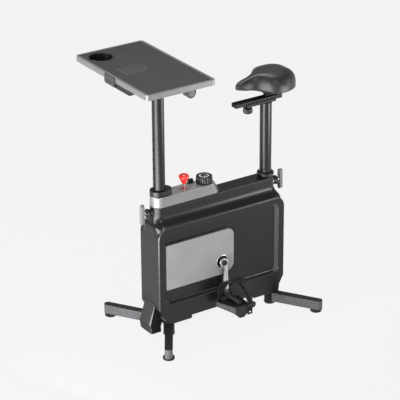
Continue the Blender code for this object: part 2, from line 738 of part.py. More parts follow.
# Plate across the housing with the two pins that the legs turn on, each ending in a foot disc
def make_leg_bracket(name, pivot_x):
    plate = slab(shifted(bracket_outline(0), pivot_x), BRACKET_LOW, BRACKET_LOW + BRACKET_HEIGHT, "XY")
    foot_top = FOOT_HEIGHT
    profile = [(0, BRACKET_LOW + 0.003), (HINGE_PIN_RADIUS, BRACKET_LOW + 0.003), (HINGE_PIN_RADIUS, foot_top),
               (PIVOT_FOOT_RADIUS - 0.002, foot_top), (PIVOT_FOOT_RADIUS, foot_top - 0.002),
               (PIVOT_FOOT_RADIUS, 0.001), (PIVOT_FOOT_RADIUS - 0.001, 0), (0, 0)]
    pins = [turned(profile, (pivot_x, side * LEG_PIVOT_Y, 0), steps=16) for side in (1, -1)]
    return piece(name, plate, trim_black, joined=pins)


def make_guide_tube(name, post_x, top, direction, lock_z):
    tube = ring(GUIDE_OUTER, GUIDE_INNER, GUIDE_BOTTOM, top, (post_x, 0, 0))
    neck_end = NECK_FRONT if direction > 0 else NECK_REAR
    reach = abs(neck_end - post_x) + LOCK_HUB_STAND
    low, high = sorted((direction * (GUIDE_INNER + 0.001), direction * reach))
    boss = rod(NUT_BOSS_RADIUS, low, high, (post_x, 0, lock_z), "X")
    low, high = sorted((0, direction * (reach + 0.01)))
    bore = rod(LOCK_SCREW_RADIUS + RUNNING_GAP, low, high, (post_x, 0, lock_z), "X", 16)
    return piece(name, tube, frame_steel, joined=[boss], cut=[bore])


def frame_plate_loop():
    crank_arc = arc_points((CRANK_X, CRANK_Z), 0.024, 45, 225, 8)
    wheel_arc = arc_points((FLYWHEEL_X, FLYWHEEL_Z), 0.017, -45, 110, 6)
    foot_rear = CRANK_X + 0.005
    foot_front = FLYWHEEL_X + 0.015
    base = [(foot_rear, GUIDE_BOTTOM + 0.02), (foot_rear, GUIDE_BOTTOM),
            (foot_front, GUIDE_BOTTOM), (foot_front, GUIDE_BOTTOM + 0.02)]
    pivot_x, pivot_z = magnet_pivot()
    pivot_arc = arc_points((pivot_x, pivot_z), 0.009, 20, 180, 5)
    return wheel_arc + pivot_arc + crank_arc + base


def magnet_pivot():
    angle = math.radians(143)
    reach = FLYWHEEL_RADIUS + MAGNET_STAND + MAGNET_THICKNESS + 0.002
    return FLYWHEEL_X + reach * math.cos(angle), FLYWHEEL_Z + reach * math.sin(angle)


def make_drive_frame():
    pivot_x, pivot_z = magnet_pivot()
    plates = [slab([frame_plate_loop()], FRAME_LEFT_Y, FRAME_LEFT_Y + FRAME_PLATE, "XZ"),
              slab([frame_plate_loop()], FRAME_RIGHT_Y - FRAME_PLATE, FRAME_RIGHT_Y, "XZ")]
    foot = box((CRANK_X + 0.005, FRAME_RIGHT_Y - 0.001, GUIDE_BOTTOM),
               (FLYWHEEL_X + 0.015, FRAME_LEFT_Y + 0.001, GUIDE_BOTTOM + 0.010))
    cuts = [rod(BEARING_RADIUS + SEAT_GAP, -0.06, 0.06, (CRANK_X, 0, CRANK_Z), "Y"),
            rod(FLYWHEEL_AXLE_RADIUS + SEAT_GAP, -0.06, 0.06, (FLYWHEEL_X, 0, FLYWHEEL_Z), "Y", 16),
            rod(MAGNET_PIN_RADIUS + SEAT_GAP, -0.06, 0.06, (pivot_x, 0, pivot_z), "Y", 12)]
    return piece("drive_frame", plates[0], frame_steel, joined=[plates[1], foot], cut=cuts)


def make_bearing(name, middle):
    bearing = ring(BEARING_RADIUS, AXLE_RADIUS + SEAT_GAP, middle - 0.005, middle + 0.005, (CRANK_X, 0, CRANK_Z),
                   "Y", 24)
    return piece(name, bearing, bright_metal)


def make_flywheel_axle():
    axle = rod(FLYWHEEL_AXLE_RADIUS, FRAME_RIGHT_Y - FRAME_PLATE - 0.004, FRAME_LEFT_Y + FRAME_PLATE + 0.004,
               (FLYWHEEL_X, 0, FLYWHEEL_Z), "Y", 20)
    return piece("flywheel_axle", axle, bright_metal)


# Drive: crank set, belt and flywheel

def make_crank_axle():
    head_low = ARM_OUTER_Y + SEAT_GAP
    head_high = head_low + CRANK_BOLT_HEIGHT
    half = [(0, head_high), (CRANK_BOLT_RADIUS - 0.001, head_high), (CRANK_BOLT_RADIUS, head_high - 0.001),
            (CRANK_BOLT_RADIUS, head_low), (AXLE_RADIUS, head_low)]
    profile = half + [(radius, -height) for radius, height in reversed(half)]
    axle = turned(profile, (CRANK_X, 0, CRANK_Z), "Y", 24)
    return piece("crank_axle", axle, frame_steel, origin=(CRANK_X, 0, CRANK_Z))


def make_drive_pulley():
    low = BELT_LINE_Y
    high = BELT_LINE_Y + PULLEY_WIDTH
    rim = DRIVE_PULLEY_RADIUS
    bore = AXLE_RADIUS + SEAT_GAP
    web_low = low + 0.004
    web_high = high - 0.004
    profile = [(rim, high), (rim, low), (rim - 0.008, low), (rim - 0.010, web_low), (0.022, web_low),
               (0.020, low - 0.004), (bore, low - 0.004), (bore, high + 0.004), (0.020, high + 0.004),
               (0.022, web_high), (rim - 0.010, web_high), (rim - 0.008, high)]
    pulley = turned(profile, (CRANK_X, 0, CRANK_Z), "Y", 24, closed=True)
    holes = []
    for i in range(5):
        angle = math.radians(72 * i)
        center = (CRANK_X + 0.046 * math.cos(angle), 0, CRANK_Z + 0.046 * math.sin(angle))
        holes.append(rod(0.013, 0, 0.05, center, "Y", 8))
    return piece("drive_pulley", pulley, trim_black, origin=(CRANK_X, 0, CRANK_Z), cut=holes)


def belt_loop(extra):
    big = DRIVE_PULLEY_RADIUS + extra
    small = SMALL_PULLEY_RADIUS + extra
    start = Vector((CRANK_X, CRANK_Z))
    end = Vector((FLYWHEEL_X, FLYWHEEL_Z))
    lean = math.degrees(math.atan2(end.y - start.y, end.x - start.x))
    wrap = math.degrees(math.acos((big - small) / (end - start).length))
    loop = arc_points(start, big, lean + wrap, lean + 360 - wrap, 20)
    loop += arc_points(end, small, lean - wrap, lean + wrap, 8)
    return loop


def make_drive_belt():
    low = BELT_LINE_Y + (PULLEY_WIDTH - BELT_WIDTH) / 2
    loops = [belt_loop(SEAT_GAP + BELT_THICKNESS), belt_loop(2 * SEAT_GAP)]
    return piece("drive_belt", slab(loops, low, low + BELT_WIDTH, "XZ"), rubber_black)


def make_flywheel():
    low = FLYWHEEL_Y - FLYWHEEL_WIDTH / 2
    high = FLYWHEEL_Y + FLYWHEEL_WIDTH / 2
    bore = FLYWHEEL_AXLE_RADIUS + SEAT_GAP
    rim = FLYWHEEL_RADIUS
    hub_end = BELT_LINE_Y + PULLEY_WIDTH
    profile = [(rim, high - 0.001), (rim, low + 0.001), (rim - 0.001, low), (rim - 0.022, low),
               (rim - 0.025, low + 0.006), (0.024, low + 0.006), (0.022, low), (bore, low),
               (bore, hub_end), (SMALL_PULLEY_RADIUS, hub_end), (SMALL_PULLEY_RADIUS, BELT_LINE_Y),
               (0.016, BELT_LINE_Y - 0.001), (0.016, high), (rim - 0.060, high - 0.006),
               (rim - 0.025, high - 0.006), (rim - 0.022, high), (rim - 0.001, high)]
    wheel = turned(profile, (FLYWHEEL_X, 0, FLYWHEEL_Z), "Y", 28, closed=True)
    return piece("flywheel", wheel, frame_steel, origin=(FLYWHEEL_X, 0, FLYWHEEL_Z))


def pedal_center(side):
    angle = math.radians(-90 - CRANK_TILT_DEG)
    return (CRANK_X + side * CRANK_LENGTH * math.cos(angle), CRANK_Z + side * CRANK_LENGTH * math.sin(angle))


def arm_outline(side):
    tip_x, tip_z = pedal_center(side)
    lean = math.degrees(math.atan2(tip_z - CRANK_Z, tip_x - CRANK_X))
    root = math.degrees(math.asin(ARM_ROOT_HALF_WIDTH / ARM_BOSS_RADIUS))
    loop = arc_points((CRANK_X, CRANK_Z), ARM_BOSS_RADIUS, lean + root, lean + 360 - root, 12)
    loop += arc_points((tip_x, tip_z), ARM_TIP_RADIUS, lean - 80, lean + 80, 8)
    return loop


def side_range(side, inner, outer):
    return (inner, outer) if side > 0 else (-outer, -inner)


def make_crank_arm(name, side):
    tip_x, tip_z = pedal_center(side)
    low, high = side_range(side, ARM_INNER_Y, ARM_OUTER_Y)
    arm = slab([arm_outline(side)], low, high, "XZ")
    bevel_edges(arm, 0.0018, edge_on(1, side * ARM_OUTER_Y), 1)
    cuts = [rod(AXLE_RADIUS + SEAT_GAP, -0.1, 0.1, (CRANK_X, 0, CRANK_Z), "Y"),
            rod(SPINDLE_RADIUS + SEAT_GAP, -0.1, 0.1, (tip_x, 0, tip_z), "Y", 16)]
    return piece(name, arm, bright_metal, origin=(CRANK_X, 0, CRANK_Z), cut=cuts)


def make_pedal_spindle(name, side):
    tip_x, tip_z = pedal_center(side)
    end = PEDAL_INNER_Y + PEDAL_WIDTH * 0.8
    collar_low = ARM_OUTER_Y + SEAT_GAP
    collar_high = PEDAL_INNER_Y - 0.001
    profile = [(0, end), (SPINDLE_RADIUS, end), (SPINDLE_RADIUS, collar_high), (0.009, collar_high),
               (0.009, collar_low), (SPINDLE_RADIUS, collar_low), (SPINDLE_RADIUS, ARM_INNER_Y + 0.001),
               (0, ARM_INNER_Y + 0.001)]
    spindle = turned(profile, (tip_x, 0, tip_z), "Y", 16)
    if side < 0:
        spindle = flip_side(spindle)
    return piece(name, spindle, bright_metal, origin=(CRANK_X, 0, CRANK_Z))


# Pedal section at a distance out from its inner face: tread, sloping front bar and keel below
def pedal_section(x, z, out):
    share = out / PEDAL_WIDTH
    tread = z - PEDAL_TREAD_DROP
    front = x + PEDAL_FRONT_REACH - PEDAL_FRONT_TAPER * share
    rear = x - PEDAL_REAR_REACH + PEDAL_REAR_TAPER * share
    bar_low = z - PEDAL_BAR_DROP - PEDAL_BAR_SLOPE * share
    keel_depth = PEDAL_KEEL_DROP - PEDAL_BAR_DROP - PEDAL_BAR_SLOPE - KEEL_STEP
    keel_low = bar_low - KEEL_STEP - keel_depth * share ** 1.8
    keel_front = x + KEEL_REACH - KEEL_FRONT_TAPER * share
    keel_rear = x - KEEL_REACH + KEEL_REAR_TAPER * share
    y = PEDAL_INNER_Y + out
    outline = [(front, tread), (front, bar_low), (keel_front, keel_low), (keel_rear, keel_low),
               (rear, bar_low), (rear, tread)]
    return [(a, y, b) for a, b in outline]


def make_pedal(name, side):
    x, z = pedal_center(side)
    body = loft([pedal_section(x, z, PEDAL_WIDTH * i / 5) for i in range(6)])
    bevel_edges(body, 0.002, lambda edge: sharp(edge, 30), 1)
    bore_end = PEDAL_INNER_Y + PEDAL_WIDTH * 0.8 + SEAT_GAP
    boss = rod(PEDAL_BOSS_RADIUS, PEDAL_INNER_Y + 0.001, bore_end + 0.003, (x, 0, z), "Y", 20)
    bore = rod(SPINDLE_RADIUS + SEAT_GAP, 0.07, bore_end, (x, 0, z), "Y", 16)
    shapes = [body, boss, bore]
    if side < 0:
        shapes = [flip_side(shape) for shape in shapes]
    return piece(name, shapes[0], trim_black, origin=(x, side * PEDAL_INNER_Y, z), joined=shapes[1:2],
                 cut=shapes[2:])


# Toe strap: a band that arches over the pedal, leans rearward on the outer side and ends in a buckled tail
def make_toe_strap(name, side):
    x, z = pedal_center(side)
    outer_y = PEDAL_INNER_Y + PEDAL_WIDTH
    middle_y = (PEDAL_INNER_Y + outer_y) / 2
    half_span = PEDAL_WIDTH / 2 + SEAT_GAP
    stations = 14
    rings = []
    for i in range(stations + 1):
        t = i / stations
        angle = math.pi * (1 - t)
        lift = math.sin(angle) ** 0.8
        center = x + STRAP_INNER_AHEAD - STRAP_SWEEP * t + STRAP_BOW * t * t
        half = STRAP_END_HALF + STRAP_END_GAIN * t + STRAP_MIDDLE_GAIN * t * (1 - t)
        points = []
        for extra in (0, STRAP_THICKNESS):
            y = middle_y + (half_span + extra) * math.cos(angle)
            height = z + (STRAP_HEIGHT - STRAP_THICKNESS + extra) * lift
            points.append((y, height))
        inner, outer = points
        rings.append([(center - half, *inner), (center + half, *inner), (center + half, *outer),
                      (center - half, *outer)])
    first = [(px, py, z - STRAP_INNER_DROP) for px, py, pz in rings[0]]
    last = [(px, py, z - STRAP_TAIL_DROP) for px, py, pz in rings[-1]]
    band = loft([first] + rings + [last])
    slot_x = x - STRAP_SLOT_X
    slot_z = z - STRAP_SLOT_DROP
    slot = box((slot_x - STRAP_SLOT_LENGTH / 2, outer_y - 0.01, slot_z - STRAP_SLOT_HEIGHT / 2),
               (slot_x + STRAP_SLOT_LENGTH / 2, outer_y + 0.02, slot_z + STRAP_SLOT_HEIGHT / 2))
    face = outer_y + SEAT_GAP + STRAP_THICKNESS
    buckle = rod(BUCKLE_RADIUS, face - 0.001, face + BUCKLE_HEIGHT, (x - BUCKLE_X, 0, z - BUCKLE_DROP), "Y", 16)
    shapes = [band, buckle, slot]
    if side < 0:
        shapes = [flip_side(shape) for shape in shapes]
    return piece(name, shapes[0], rubber_black, origin=(x, side * PEDAL_INNER_Y, z), joined=shapes[1:2],
                 cut=shapes[2:])


# Legs

def make_leg(name, pivot_x, end, side):
    heading = 90 - LEG_SPLAY_DEG
    root_cut = math.degrees(math.asin(LEG_WIDTH / 2 / LEG_ROOT_RADIUS))
    loop = arc_points((0, 0), LEG_ROOT_RADIUS, root_cut, 360 - root_cut, 14)
    loop += arc_points((LEG_LENGTH + 0.010, 0), LEG_WIDTH / 2, -90, 90, 8)
    bore = circle_points((0, 0), HINGE_PIN_RADIUS + SEAT_GAP, 16)
    leg = slab([loop, bore], LEG_BOTTOM, LEG_TOP, "XY")
    bevel_edges(leg, 0.003, lambda edge: edge_on(2, LEG_TOP)(edge) and edge.calc_length() < 1
                and all(vert.co.to_2d().length > LEG_ROOT_RADIUS - 0.001 for vert in edge.verts), 1)
    leg.transform(Matrix.Rotation(math.radians(heading), 4, "Z"))
    leg.transform(Matrix.Diagonal((end, side, 1, 1)))
    if end * side < 0:
        bmesh.ops.reverse_faces(leg, faces=leg.faces)
    pivot = Vector((pivot_x, side * LEG_PIVOT_Y, 0))
    leg.transform(Matrix.Translation(pivot))
    return piece(name, leg, leg_grey, origin=(pivot_x, side * LEG_PIVOT_Y, LEG_BOTTOM))


def make_foot(name, pivot_x, end, side):
    splay = math.radians(LEG_SPLAY_DEG)
    center = (pivot_x + end * LEG_LENGTH * math.sin(splay), side * (LEG_PIVOT_Y + LEG_LENGTH * math.cos(splay)), 0)
    profile = [(0, FOOT_HEIGHT), (FOOT_RADIUS - 0.003, FOOT_HEIGHT), (FOOT_RADIUS, FOOT_HEIGHT - 0.003),
               (FOOT_RADIUS, 0.001), (FOOT_RADIUS - 0.001, 0), (0, 0)]
    return piece(name, turned(profile, center, steps=16), rubber_black, origin=(pivot_x, side * LEG_PIVOT_Y, 0))


# Console, collars and controls

def console_outline(z, inset):
    share = (z - CONSOLE_LOW) / CONSOLE_HEIGHT
    radius = NECK_HALF_WIDTH - inset
    front_center = NECK_FRONT - NECK_HALF_WIDTH
    rear_center = FRONT_POST_X - CONSOLE_REAR_CENTER_BEHIND_POST + CONSOLE_REAR_RAKE * share
    loop = arc_points((front_center, 0), radius, -90, 90, 10)
    loop += arc_points((rear_center, 0), radius, 90, 270, 10)
    return [(x, y, z) for x, y in loop]


def make_console_cover():
    levels = [(CONSOLE_LOW, 0.0), (CONSOLE_TOP - 0.002, 0.0), (CONSOLE_TOP - 0.0006, 0.0006), (CONSOLE_TOP, 0.002)]
    cover = loft([console_outline(z, inset) for z, inset in levels])
    hollow = loft([console_outline(z, CONSOLE_WALL) for z in (CONSOLE_LOW - 0.01, CONSOLE_TOP - CONSOLE_WALL)])
    post_hole = rod(POST_RADIUS + 2 * RUNNING_GAP, CONSOLE_LOW - 0.01, CONSOLE_TOP + 0.01, (FRONT_POST_X, 0, 0),
                    steps=24)
    cuts = [hollow, post_hole]
    for hole_x, radius in ((BRAKE_KNOB_X, BRAKE_STEM_RADIUS), (DIAL_X, DIAL_SHAFT_RADIUS)):
        cuts.append(rod(radius + RUNNING_GAP, CONSOLE_TOP - 0.01, CONSOLE_TOP + 0.01, (hole_x, 0, 0), steps=16))
    half_x = SWITCH_LENGTH / 2 + RUNNING_GAP
    half_y = SWITCH_WIDTH / 2 + RUNNING_GAP
    cuts.append(box((SWITCH_X - half_x, SWITCH_Y - half_y, CONSOLE_TOP - 0.01),
                    (SWITCH_X + half_x, SWITCH_Y + half_y, CONSOLE_TOP + 0.01)))
    return piece("console_cover", cover, plate_silver, cut=cuts)


def make_front_collar():
    low = CONSOLE_TOP + SEAT_GAP
    loop = arc_points((FRONT_POST_X + COLLAR_FORWARD, 0), COLLAR_RADIUS, -90, 90, 10)
    loop += arc_points((FRONT_POST_X - COLLAR_REACH, 0), COLLAR_RADIUS, 90, 270, 10)
    bore = circle_points((FRONT_POST_X, 0), GUIDE_INNER, 24)
    collar = slab([loop, bore], low, low + COLLAR_HEIGHT, "XY")
    bevel_edges(collar, 0.0025, edge_on(2, low + COLLAR_HEIGHT), 1)
    return piece("front_collar", collar, trim_black)


def make_rear_collar():
    low = NECK_TOP + SEAT_GAP
    high = low + REAR_COLLAR_HEIGHT
    outer = REAR_COLLAR_RADIUS
    profile = [(GUIDE_INNER, high), (outer - 0.004, high), (outer, high - 0.004), (outer, high - 0.010),
               (outer - 0.002, high - 0.011), (outer - 0.002, low), (GUIDE_INNER, low)]
    collar = turned(profile, (REAR_POST_X, 0, 0), closed=True)
    return piece("rear_collar", collar, trim_black)


def make_brake_knob():
    top = BRAKE_KNOB_LOW + BRAKE_KNOB_HEIGHT
    wide = BRAKE_KNOB_RADIUS
    neck = BRAKE_STEM_RADIUS + 0.0022
    profile = [(0, top), (wide * 0.66, top - 0.0015), (wide * 0.93, top - 0.0055), (wide, top - 0.010),
               (wide * 0.93, top - 0.016), (wide * 0.68, top - 0.026), (neck + 0.002, BRAKE_KNOB_LOW + 0.003),
               (neck, BRAKE_KNOB_LOW), (BRAKE_STEM_RADIUS + SEAT_GAP, BRAKE_KNOB_LOW),
               (BRAKE_STEM_RADIUS + SEAT_GAP, BRAKE_KNOB_LOW + BRAKE_STEM_DEPTH),
               (0, BRAKE_KNOB_LOW + BRAKE_STEM_DEPTH)]
    knob = turned(profile, (BRAKE_KNOB_X, 0, 0), steps=20)
    return piece("brake_knob", knob, knob_red, origin=(BRAKE_KNOB_X, 0, BRAKE_KNOB_LOW))


def make_brake_stem():
    pad_low = FLYWHEEL_Z + FLYWHEEL_RADIUS + BRAKE_TRAVEL + BRAKE_PAD_GAP
    stem = rod(BRAKE_STEM_RADIUS, pad_low + PAD_HEIGHT - 0.002, BRAKE_KNOB_LOW + BRAKE_STEM_DEPTH - SEAT_GAP,
               (BRAKE_KNOB_X, 0, 0), steps=16)
    pad = box((BRAKE_KNOB_X - PAD_LENGTH / 2, FLYWHEEL_Y - PAD_RIGHT_REACH, pad_low),
              (BRAKE_KNOB_X + PAD_LENGTH / 2, FLYWHEEL_Y + PAD_LEFT_REACH, pad_low + PAD_HEIGHT))
    bevel_edges(pad, 0.0015, sharp, 1)
    return piece("brake_stem", stem, bright_metal, origin=(BRAKE_KNOB_X, 0, BRAKE_KNOB_LOW), joined=[pad])


def make_resistance_knob():
    low = CONSOLE_TOP + SEAT_GAP
    skirt = rod(DIAL_RADIUS - 0.003, low, low + DIAL_BASE_HEIGHT + 0.001, (DIAL_X, 0, 0), steps=24)
    flutes = []
    count = DIAL_FLUTES * 4
    for i in range(count):
        angle = 2 * math.pi * i / count
        radius = DIAL_RADIUS - DIAL_FLUTE_DEPTH * (1 - math.cos(DIAL_FLUTES * angle)) / 2
        flutes.append((DIAL_X + radius * math.cos(angle), radius * math.sin(angle)))
    cap = slab([flutes], low + DIAL_BASE_HEIGHT, low + DIAL_BASE_HEIGHT + DIAL_HEIGHT, "XY")
    bevel_edges(cap, 0.002, edge_on(2, low + DIAL_BASE_HEIGHT + DIAL_HEIGHT), 1)
    shaft = rod(DIAL_SHAFT_RADIUS, DIAL_SHAFT_BOTTOM, low + 0.002, (DIAL_X, 0, 0), steps=16)
    return piece("resistance_knob", cap, trim_black, origin=(DIAL_X, 0, low), joined=[skirt, shaft])


def make_magnet_arm():
    pivot_x, pivot_z = magnet_pivot()
    inner = FLYWHEEL_RADIUS + MAGNET_STAND
    outer = inner + MAGNET_THICKNESS
    center = (FLYWHEEL_X, FLYWHEEL_Z)
    loop = arc_points(center, outer, 122, 150, 5) + arc_points(center, inner, 150, 122, 5)
    arm = slab([loop], FLYWHEEL_Y - 0.014, FLYWHEEL_Y + 0.014, "XZ")
    eye = rod(0.008, FLYWHEEL_Y - 0.013, FLYWHEEL_Y + 0.013, (pivot_x, 0, pivot_z), "Y", 16)
    pin = rod(MAGNET_PIN_RADIUS, FRAME_RIGHT_Y - FRAME_PLATE, FRAME_LEFT_Y + FRAME_PLATE, (pivot_x, 0, pivot_z),
              "Y", 12)
    return piece("magnet_arm", arm, frame_steel, origin=(pivot_x, 0, pivot_z), joined=[eye, pin])


def make_console_switch():
    low = CONSOLE_TOP - CONSOLE_WALL - 0.002
    high = CONSOLE_TOP + SWITCH_HEIGHT
    block = box((SWITCH_X - SWITCH_LENGTH / 2, SWITCH_Y - SWITCH_WIDTH / 2, low),
                (SWITCH_X + SWITCH_LENGTH / 2, SWITCH_Y + SWITCH_WIDTH / 2, high))
    bevel_edges(block, 0.002, edge_on(2, high), 2)
    return piece("console_switch", block, trim_black, origin=(SWITCH_X, SWITCH_Y, high))


# T-shaped knob whose screw ends just short of the post
def make_lock_knob(name, post_x, direction, lock_z):
    neck_end = NECK_FRONT if direction > 0 else NECK_REAR
    hub_start = abs(neck_end - post_x) + LOCK_HUB_STAND + SEAT_GAP
    hub_end = hub_start + LOCK_HUB_LENGTH
    bar_start = hub_end + LOCK_STEM_LENGTH
    profile = [(0, bar_start + 0.004), (0.006, bar_start + 0.004), (0.006, hub_end), (LOCK_HUB_RADIUS - 0.003, hub_end),
               (LOCK_HUB_RADIUS, hub_end - 0.003), (LOCK_HUB_RADIUS, hub_start + 0.008),
               (LOCK_HUB_RADIUS - 0.003, hub_start + 0.006), (LOCK_HUB_RADIUS - 0.003, hub_start),
               (LOCK_SCREW_RADIUS, hub_start), (LOCK_SCREW_RADIUS, POST_RADIUS + SEAT_GAP),
               (0, POST_RADIUS + SEAT_GAP)]
    knob = turned(profile, (0, 0, 0), "X", 16)
    bar = slab([rounded_rectangle((-LOCK_BAR_WIDTH / 2, -LOCK_BAR_LENGTH / 2),
                                  (LOCK_BAR_WIDTH / 2, LOCK_BAR_LENGTH / 2), 0.0078, 3)],
               bar_start, bar_start + LOCK_BAR_THICKNESS, "YZ")
    bevel_edges(bar, 0.0025, lambda edge: sharp(edge, 60), 1)
    turn = Matrix.Identity(4) if direction > 0 else Matrix.Rotation(math.pi, 4, "Z")
    for shape in (knob, bar):
        shape.transform(Matrix.Translation((post_x, 0, lock_z)) @ turn)
    return piece(name, knob, latch_grey, origin=(post_x, 0, lock_z), joined=[bar])


# Desk post and desk

def post_tube(name, post_x, bottom, top, cuts=()):
    tube = ring(POST_RADIUS, POST_RADIUS - POST_WALL, bottom, top, (post_x, 0, 0))
    return piece(name, tube, post_black, origin=(post_x, 0, bottom), cut=cuts)


def make_desk_post():
    holes = []
    for i in range(POST_HOLE_COUNT):
        hole_z = POST_LOWEST_HOLE_Z + i * POST_HOLE_PITCH
        holes.append(rod(POST_HOLE_RADIUS, 0, 0.03, (FRONT_POST_X, 0, hole_z), "X", 8))
    return post_tube("desk_post", FRONT_POST_X, DESK_POST_BOTTOM, DESK_POST_TOP, holes)


def make_desk_head():
    half = HEAD_WIDTH / 2
    foot_low = DESK_POST_TOP + SEAT_GAP
    eye = rod(HEAD_RADIUS, -half, half, (TILT_X, 0, TILT_Z), "Y", 20)
    foot = rod(POST_RADIUS - 0.0005, foot_low, TILT_Z - 0.0045, (FRONT_POST_X, 0, 0), steps=24)
    plug_radius = POST_RADIUS - POST_WALL - SEAT_GAP
    plug = rod(plug_radius, DESK_POST_TOP - PLUG_LENGTH, foot_low + 0.001, (FRONT_POST_X, 0, 0), steps=20)
    bore = rod(CROSSBAR_RADIUS + SEAT_GAP, -0.1, 0.1, (TILT_X, 0, TILT_Z), "Y", 20)
    return piece("desk_head", eye, post_black, origin=(FRONT_POST_X, 0, foot_low), joined=[foot, plug], cut=[bore])


def make_desk_crossbar():
    half = DESK_WIDTH / 2 - 0.0015
    top = DESK_BOTTOM - SEAT_GAP
    bar = rod(CROSSBAR_RADIUS, -half + 0.002, half - 0.002, (TILT_X, 0, TILT_Z), "Y", 20)
    loop = arc_points((TILT_X, TILT_Z), HANGER_RADIUS, 180, 360, 10)
    loop += [(TILT_X + HANGER_RADIUS, top), (TILT_X - HANGER_RADIUS, top)]
    hangers = []
    for side in (1, -1):
        low, high = side_range(side, half - HANGER_WIDTH, half)
        hangers.append(slab([loop], low, high, "XZ"))
    return piece("desk_crossbar", bar, latch_grey, origin=(TILT_X, 0, TILT_Z), joined=hangers)


def desk_loop(inset):
    half = DESK_WIDTH / 2 - inset
    return rounded_rectangle((DESK_REAR + inset, -half), (DESK_FRONT - inset, half), DESK_CORNER - inset, 5)


def make_desk_rim():
    half = DESK_WIDTH / 2 - DESK_RIM
    inner = rounded_rectangle((DESK_REAR + DESK_RIM, -half), (DESK_FRONT - DESK_RIM, half), RIM_INNER_RADIUS, 4)
    rim = slab([desk_loop(0), inner], DESK_BOTTOM, DESK_TOP, "XY")
    bevel_edges(rim, 0.0018, lambda edge: edge_on(2, DESK_TOP)(edge), 1)
    return piece("desk_rim", rim, desk_rim_grey, origin=(TILT_X, 0, TILT_Z))


def flap_loop(extra):
    half = FLAP_HALF_WIDTH + extra
    front = FLAP_HINGE_X + FLAP_THICKNESS / 2 + extra
    rear = FLAP_HINGE_X - FLAP_LENGTH - extra
    nose = 0.036
    loop = [(front, FLAP_Y - half), (front, FLAP_Y + half)]
    steps = 10
    for i in range(steps + 1):
        angle = math.pi / 2 - math.pi * i / steps
        loop.append((rear + nose - nose * math.cos(angle), FLAP_Y + half * math.sin(angle)))
    return loop


def make_desk_top():
    inset = DESK_RIM + SEAT_GAP
    half = DESK_WIDTH / 2 - inset
    outer = rounded_rectangle((DESK_REAR + inset, -half), (DESK_FRONT - inset, half), RIM_INNER_RADIUS - SEAT_GAP, 4)
    panel = slab([outer, circle_points((CUP_X, CUP_Y), CUP_RADIUS, 24)], DESK_BOTTOM + PANEL_DROP, PANEL_TOP, "XY")
    recess = slab([flap_loop(0.0006)], PANEL_TOP - FLAP_THICKNESS - SEAT_GAP, PANEL_TOP + 0.01, "XY")
    return piece("desk_top", panel, desk_charcoal, origin=(TILT_X, 0, TILT_Z), cut=[recess])


def make_cup_insert():
    outer = CUP_RADIUS - SEAT_GAP
    lip_low = PANEL_TOP + SEAT_GAP
    lip_top = lip_low + 0.0012
    floor = PANEL_TOP - CUP_DEPTH
    profile = [(0, floor + CUP_WALL), (outer - 0.002 - CUP_WALL, floor + CUP_WALL), (outer - CUP_WALL, lip_top),
               (outer + CUP_LIP - 0.001, lip_top), (outer + CUP_LIP, lip_low), (outer, lip_low),
               (outer - 0.002, floor), (0, floor)]
    cup = turned(profile, (CUP_X, CUP_Y, 0))
    return piece("cup_insert", cup, trim_black, origin=(TILT_X, 0, TILT_Z))


def make_tablet_flap():
    flap = slab([flap_loop(0)], PANEL_TOP - FLAP_THICKNESS, PANEL_TOP, "XY")
    front = FLAP_HINGE_X + FLAP_THICKNESS / 2
    edges = [edge for edge in flap.edges
             if all(abs(vert.co.x - front) < 0.00001 for vert in edge.verts) and abs(
                 edge.verts[0].co.z - edge.verts[1].co.z) < 0.00001]
    bmesh.ops.bevel(flap, geom=edges, offset=FLAP_THICKNESS / 2 - 0.0001, segments=3, profile=0.5,
                    affect="EDGES", clamp_overlap=True)
    return piece("tablet_flap", flap, latch_grey, origin=(FLAP_HINGE_X, 0, FLAP_HINGE_Z))


def make_desk_latch():
    face = DESK_FRONT + SEAT_GAP
    top = DESK_TOP - 0.001
    bottom = top - LATCH_HEIGHT
    under = DESK_BOTTOM - SEAT_GAP
    tab = [(face, top), (face, under), (face - 0.012, under), (face - 0.012, bottom),
           (face + LATCH_REACH, bottom), (face + LATCH_REACH, top - 0.002), (face + LATCH_REACH - 0.0015, top)]
    clip = slab([tab], LATCH_RIGHT, LATCH_LEFT, "XZ")
    bevel_edges(clip, LATCH_CORNER, lambda edge: all(
        abs(vert.co.y - LATCH_RIGHT) < 0.00001 and abs(vert.co.z - bottom) < 0.00001 for vert in edge.verts), 3)
    return piece("desk_latch", clip, latch_grey, origin=(TILT_X, 0, TILT_Z))


def make_release_bar():
    top = DESK_BOTTOM - 2 * SEAT_GAP
    low = top - RELEASE_BAR_SIZE
    front = DESK_FRONT - 0.001
    start = LATCH_LEFT + RELEASE_BAR_GAP
    section = [(front - RELEASE_BAR_SIZE, low), (front, low), (front, top), (front - RELEASE_BAR_SIZE, top)]
    bar = slab([section], start, start + RELEASE_BAR_LENGTH, "XZ")
    bevel_edges(bar, RELEASE_BAR_END_ROUND, lambda edge: all(
        abs(vert.co.y - start - RELEASE_BAR_LENGTH) < 0.00001 and abs(vert.co.z - low) < 0.00001
        for vert in edge.verts), 3)
    bevel_edges(bar, 0.003, lambda edge: all(abs(vert.co.x - front) < 0.00001 for vert in edge.verts), 1)
    return piece("release_bar", bar, trim_black, origin=(front - RELEASE_BAR_SIZE / 2, start, low + RELEASE_BAR_SIZE / 2))


# Saddle

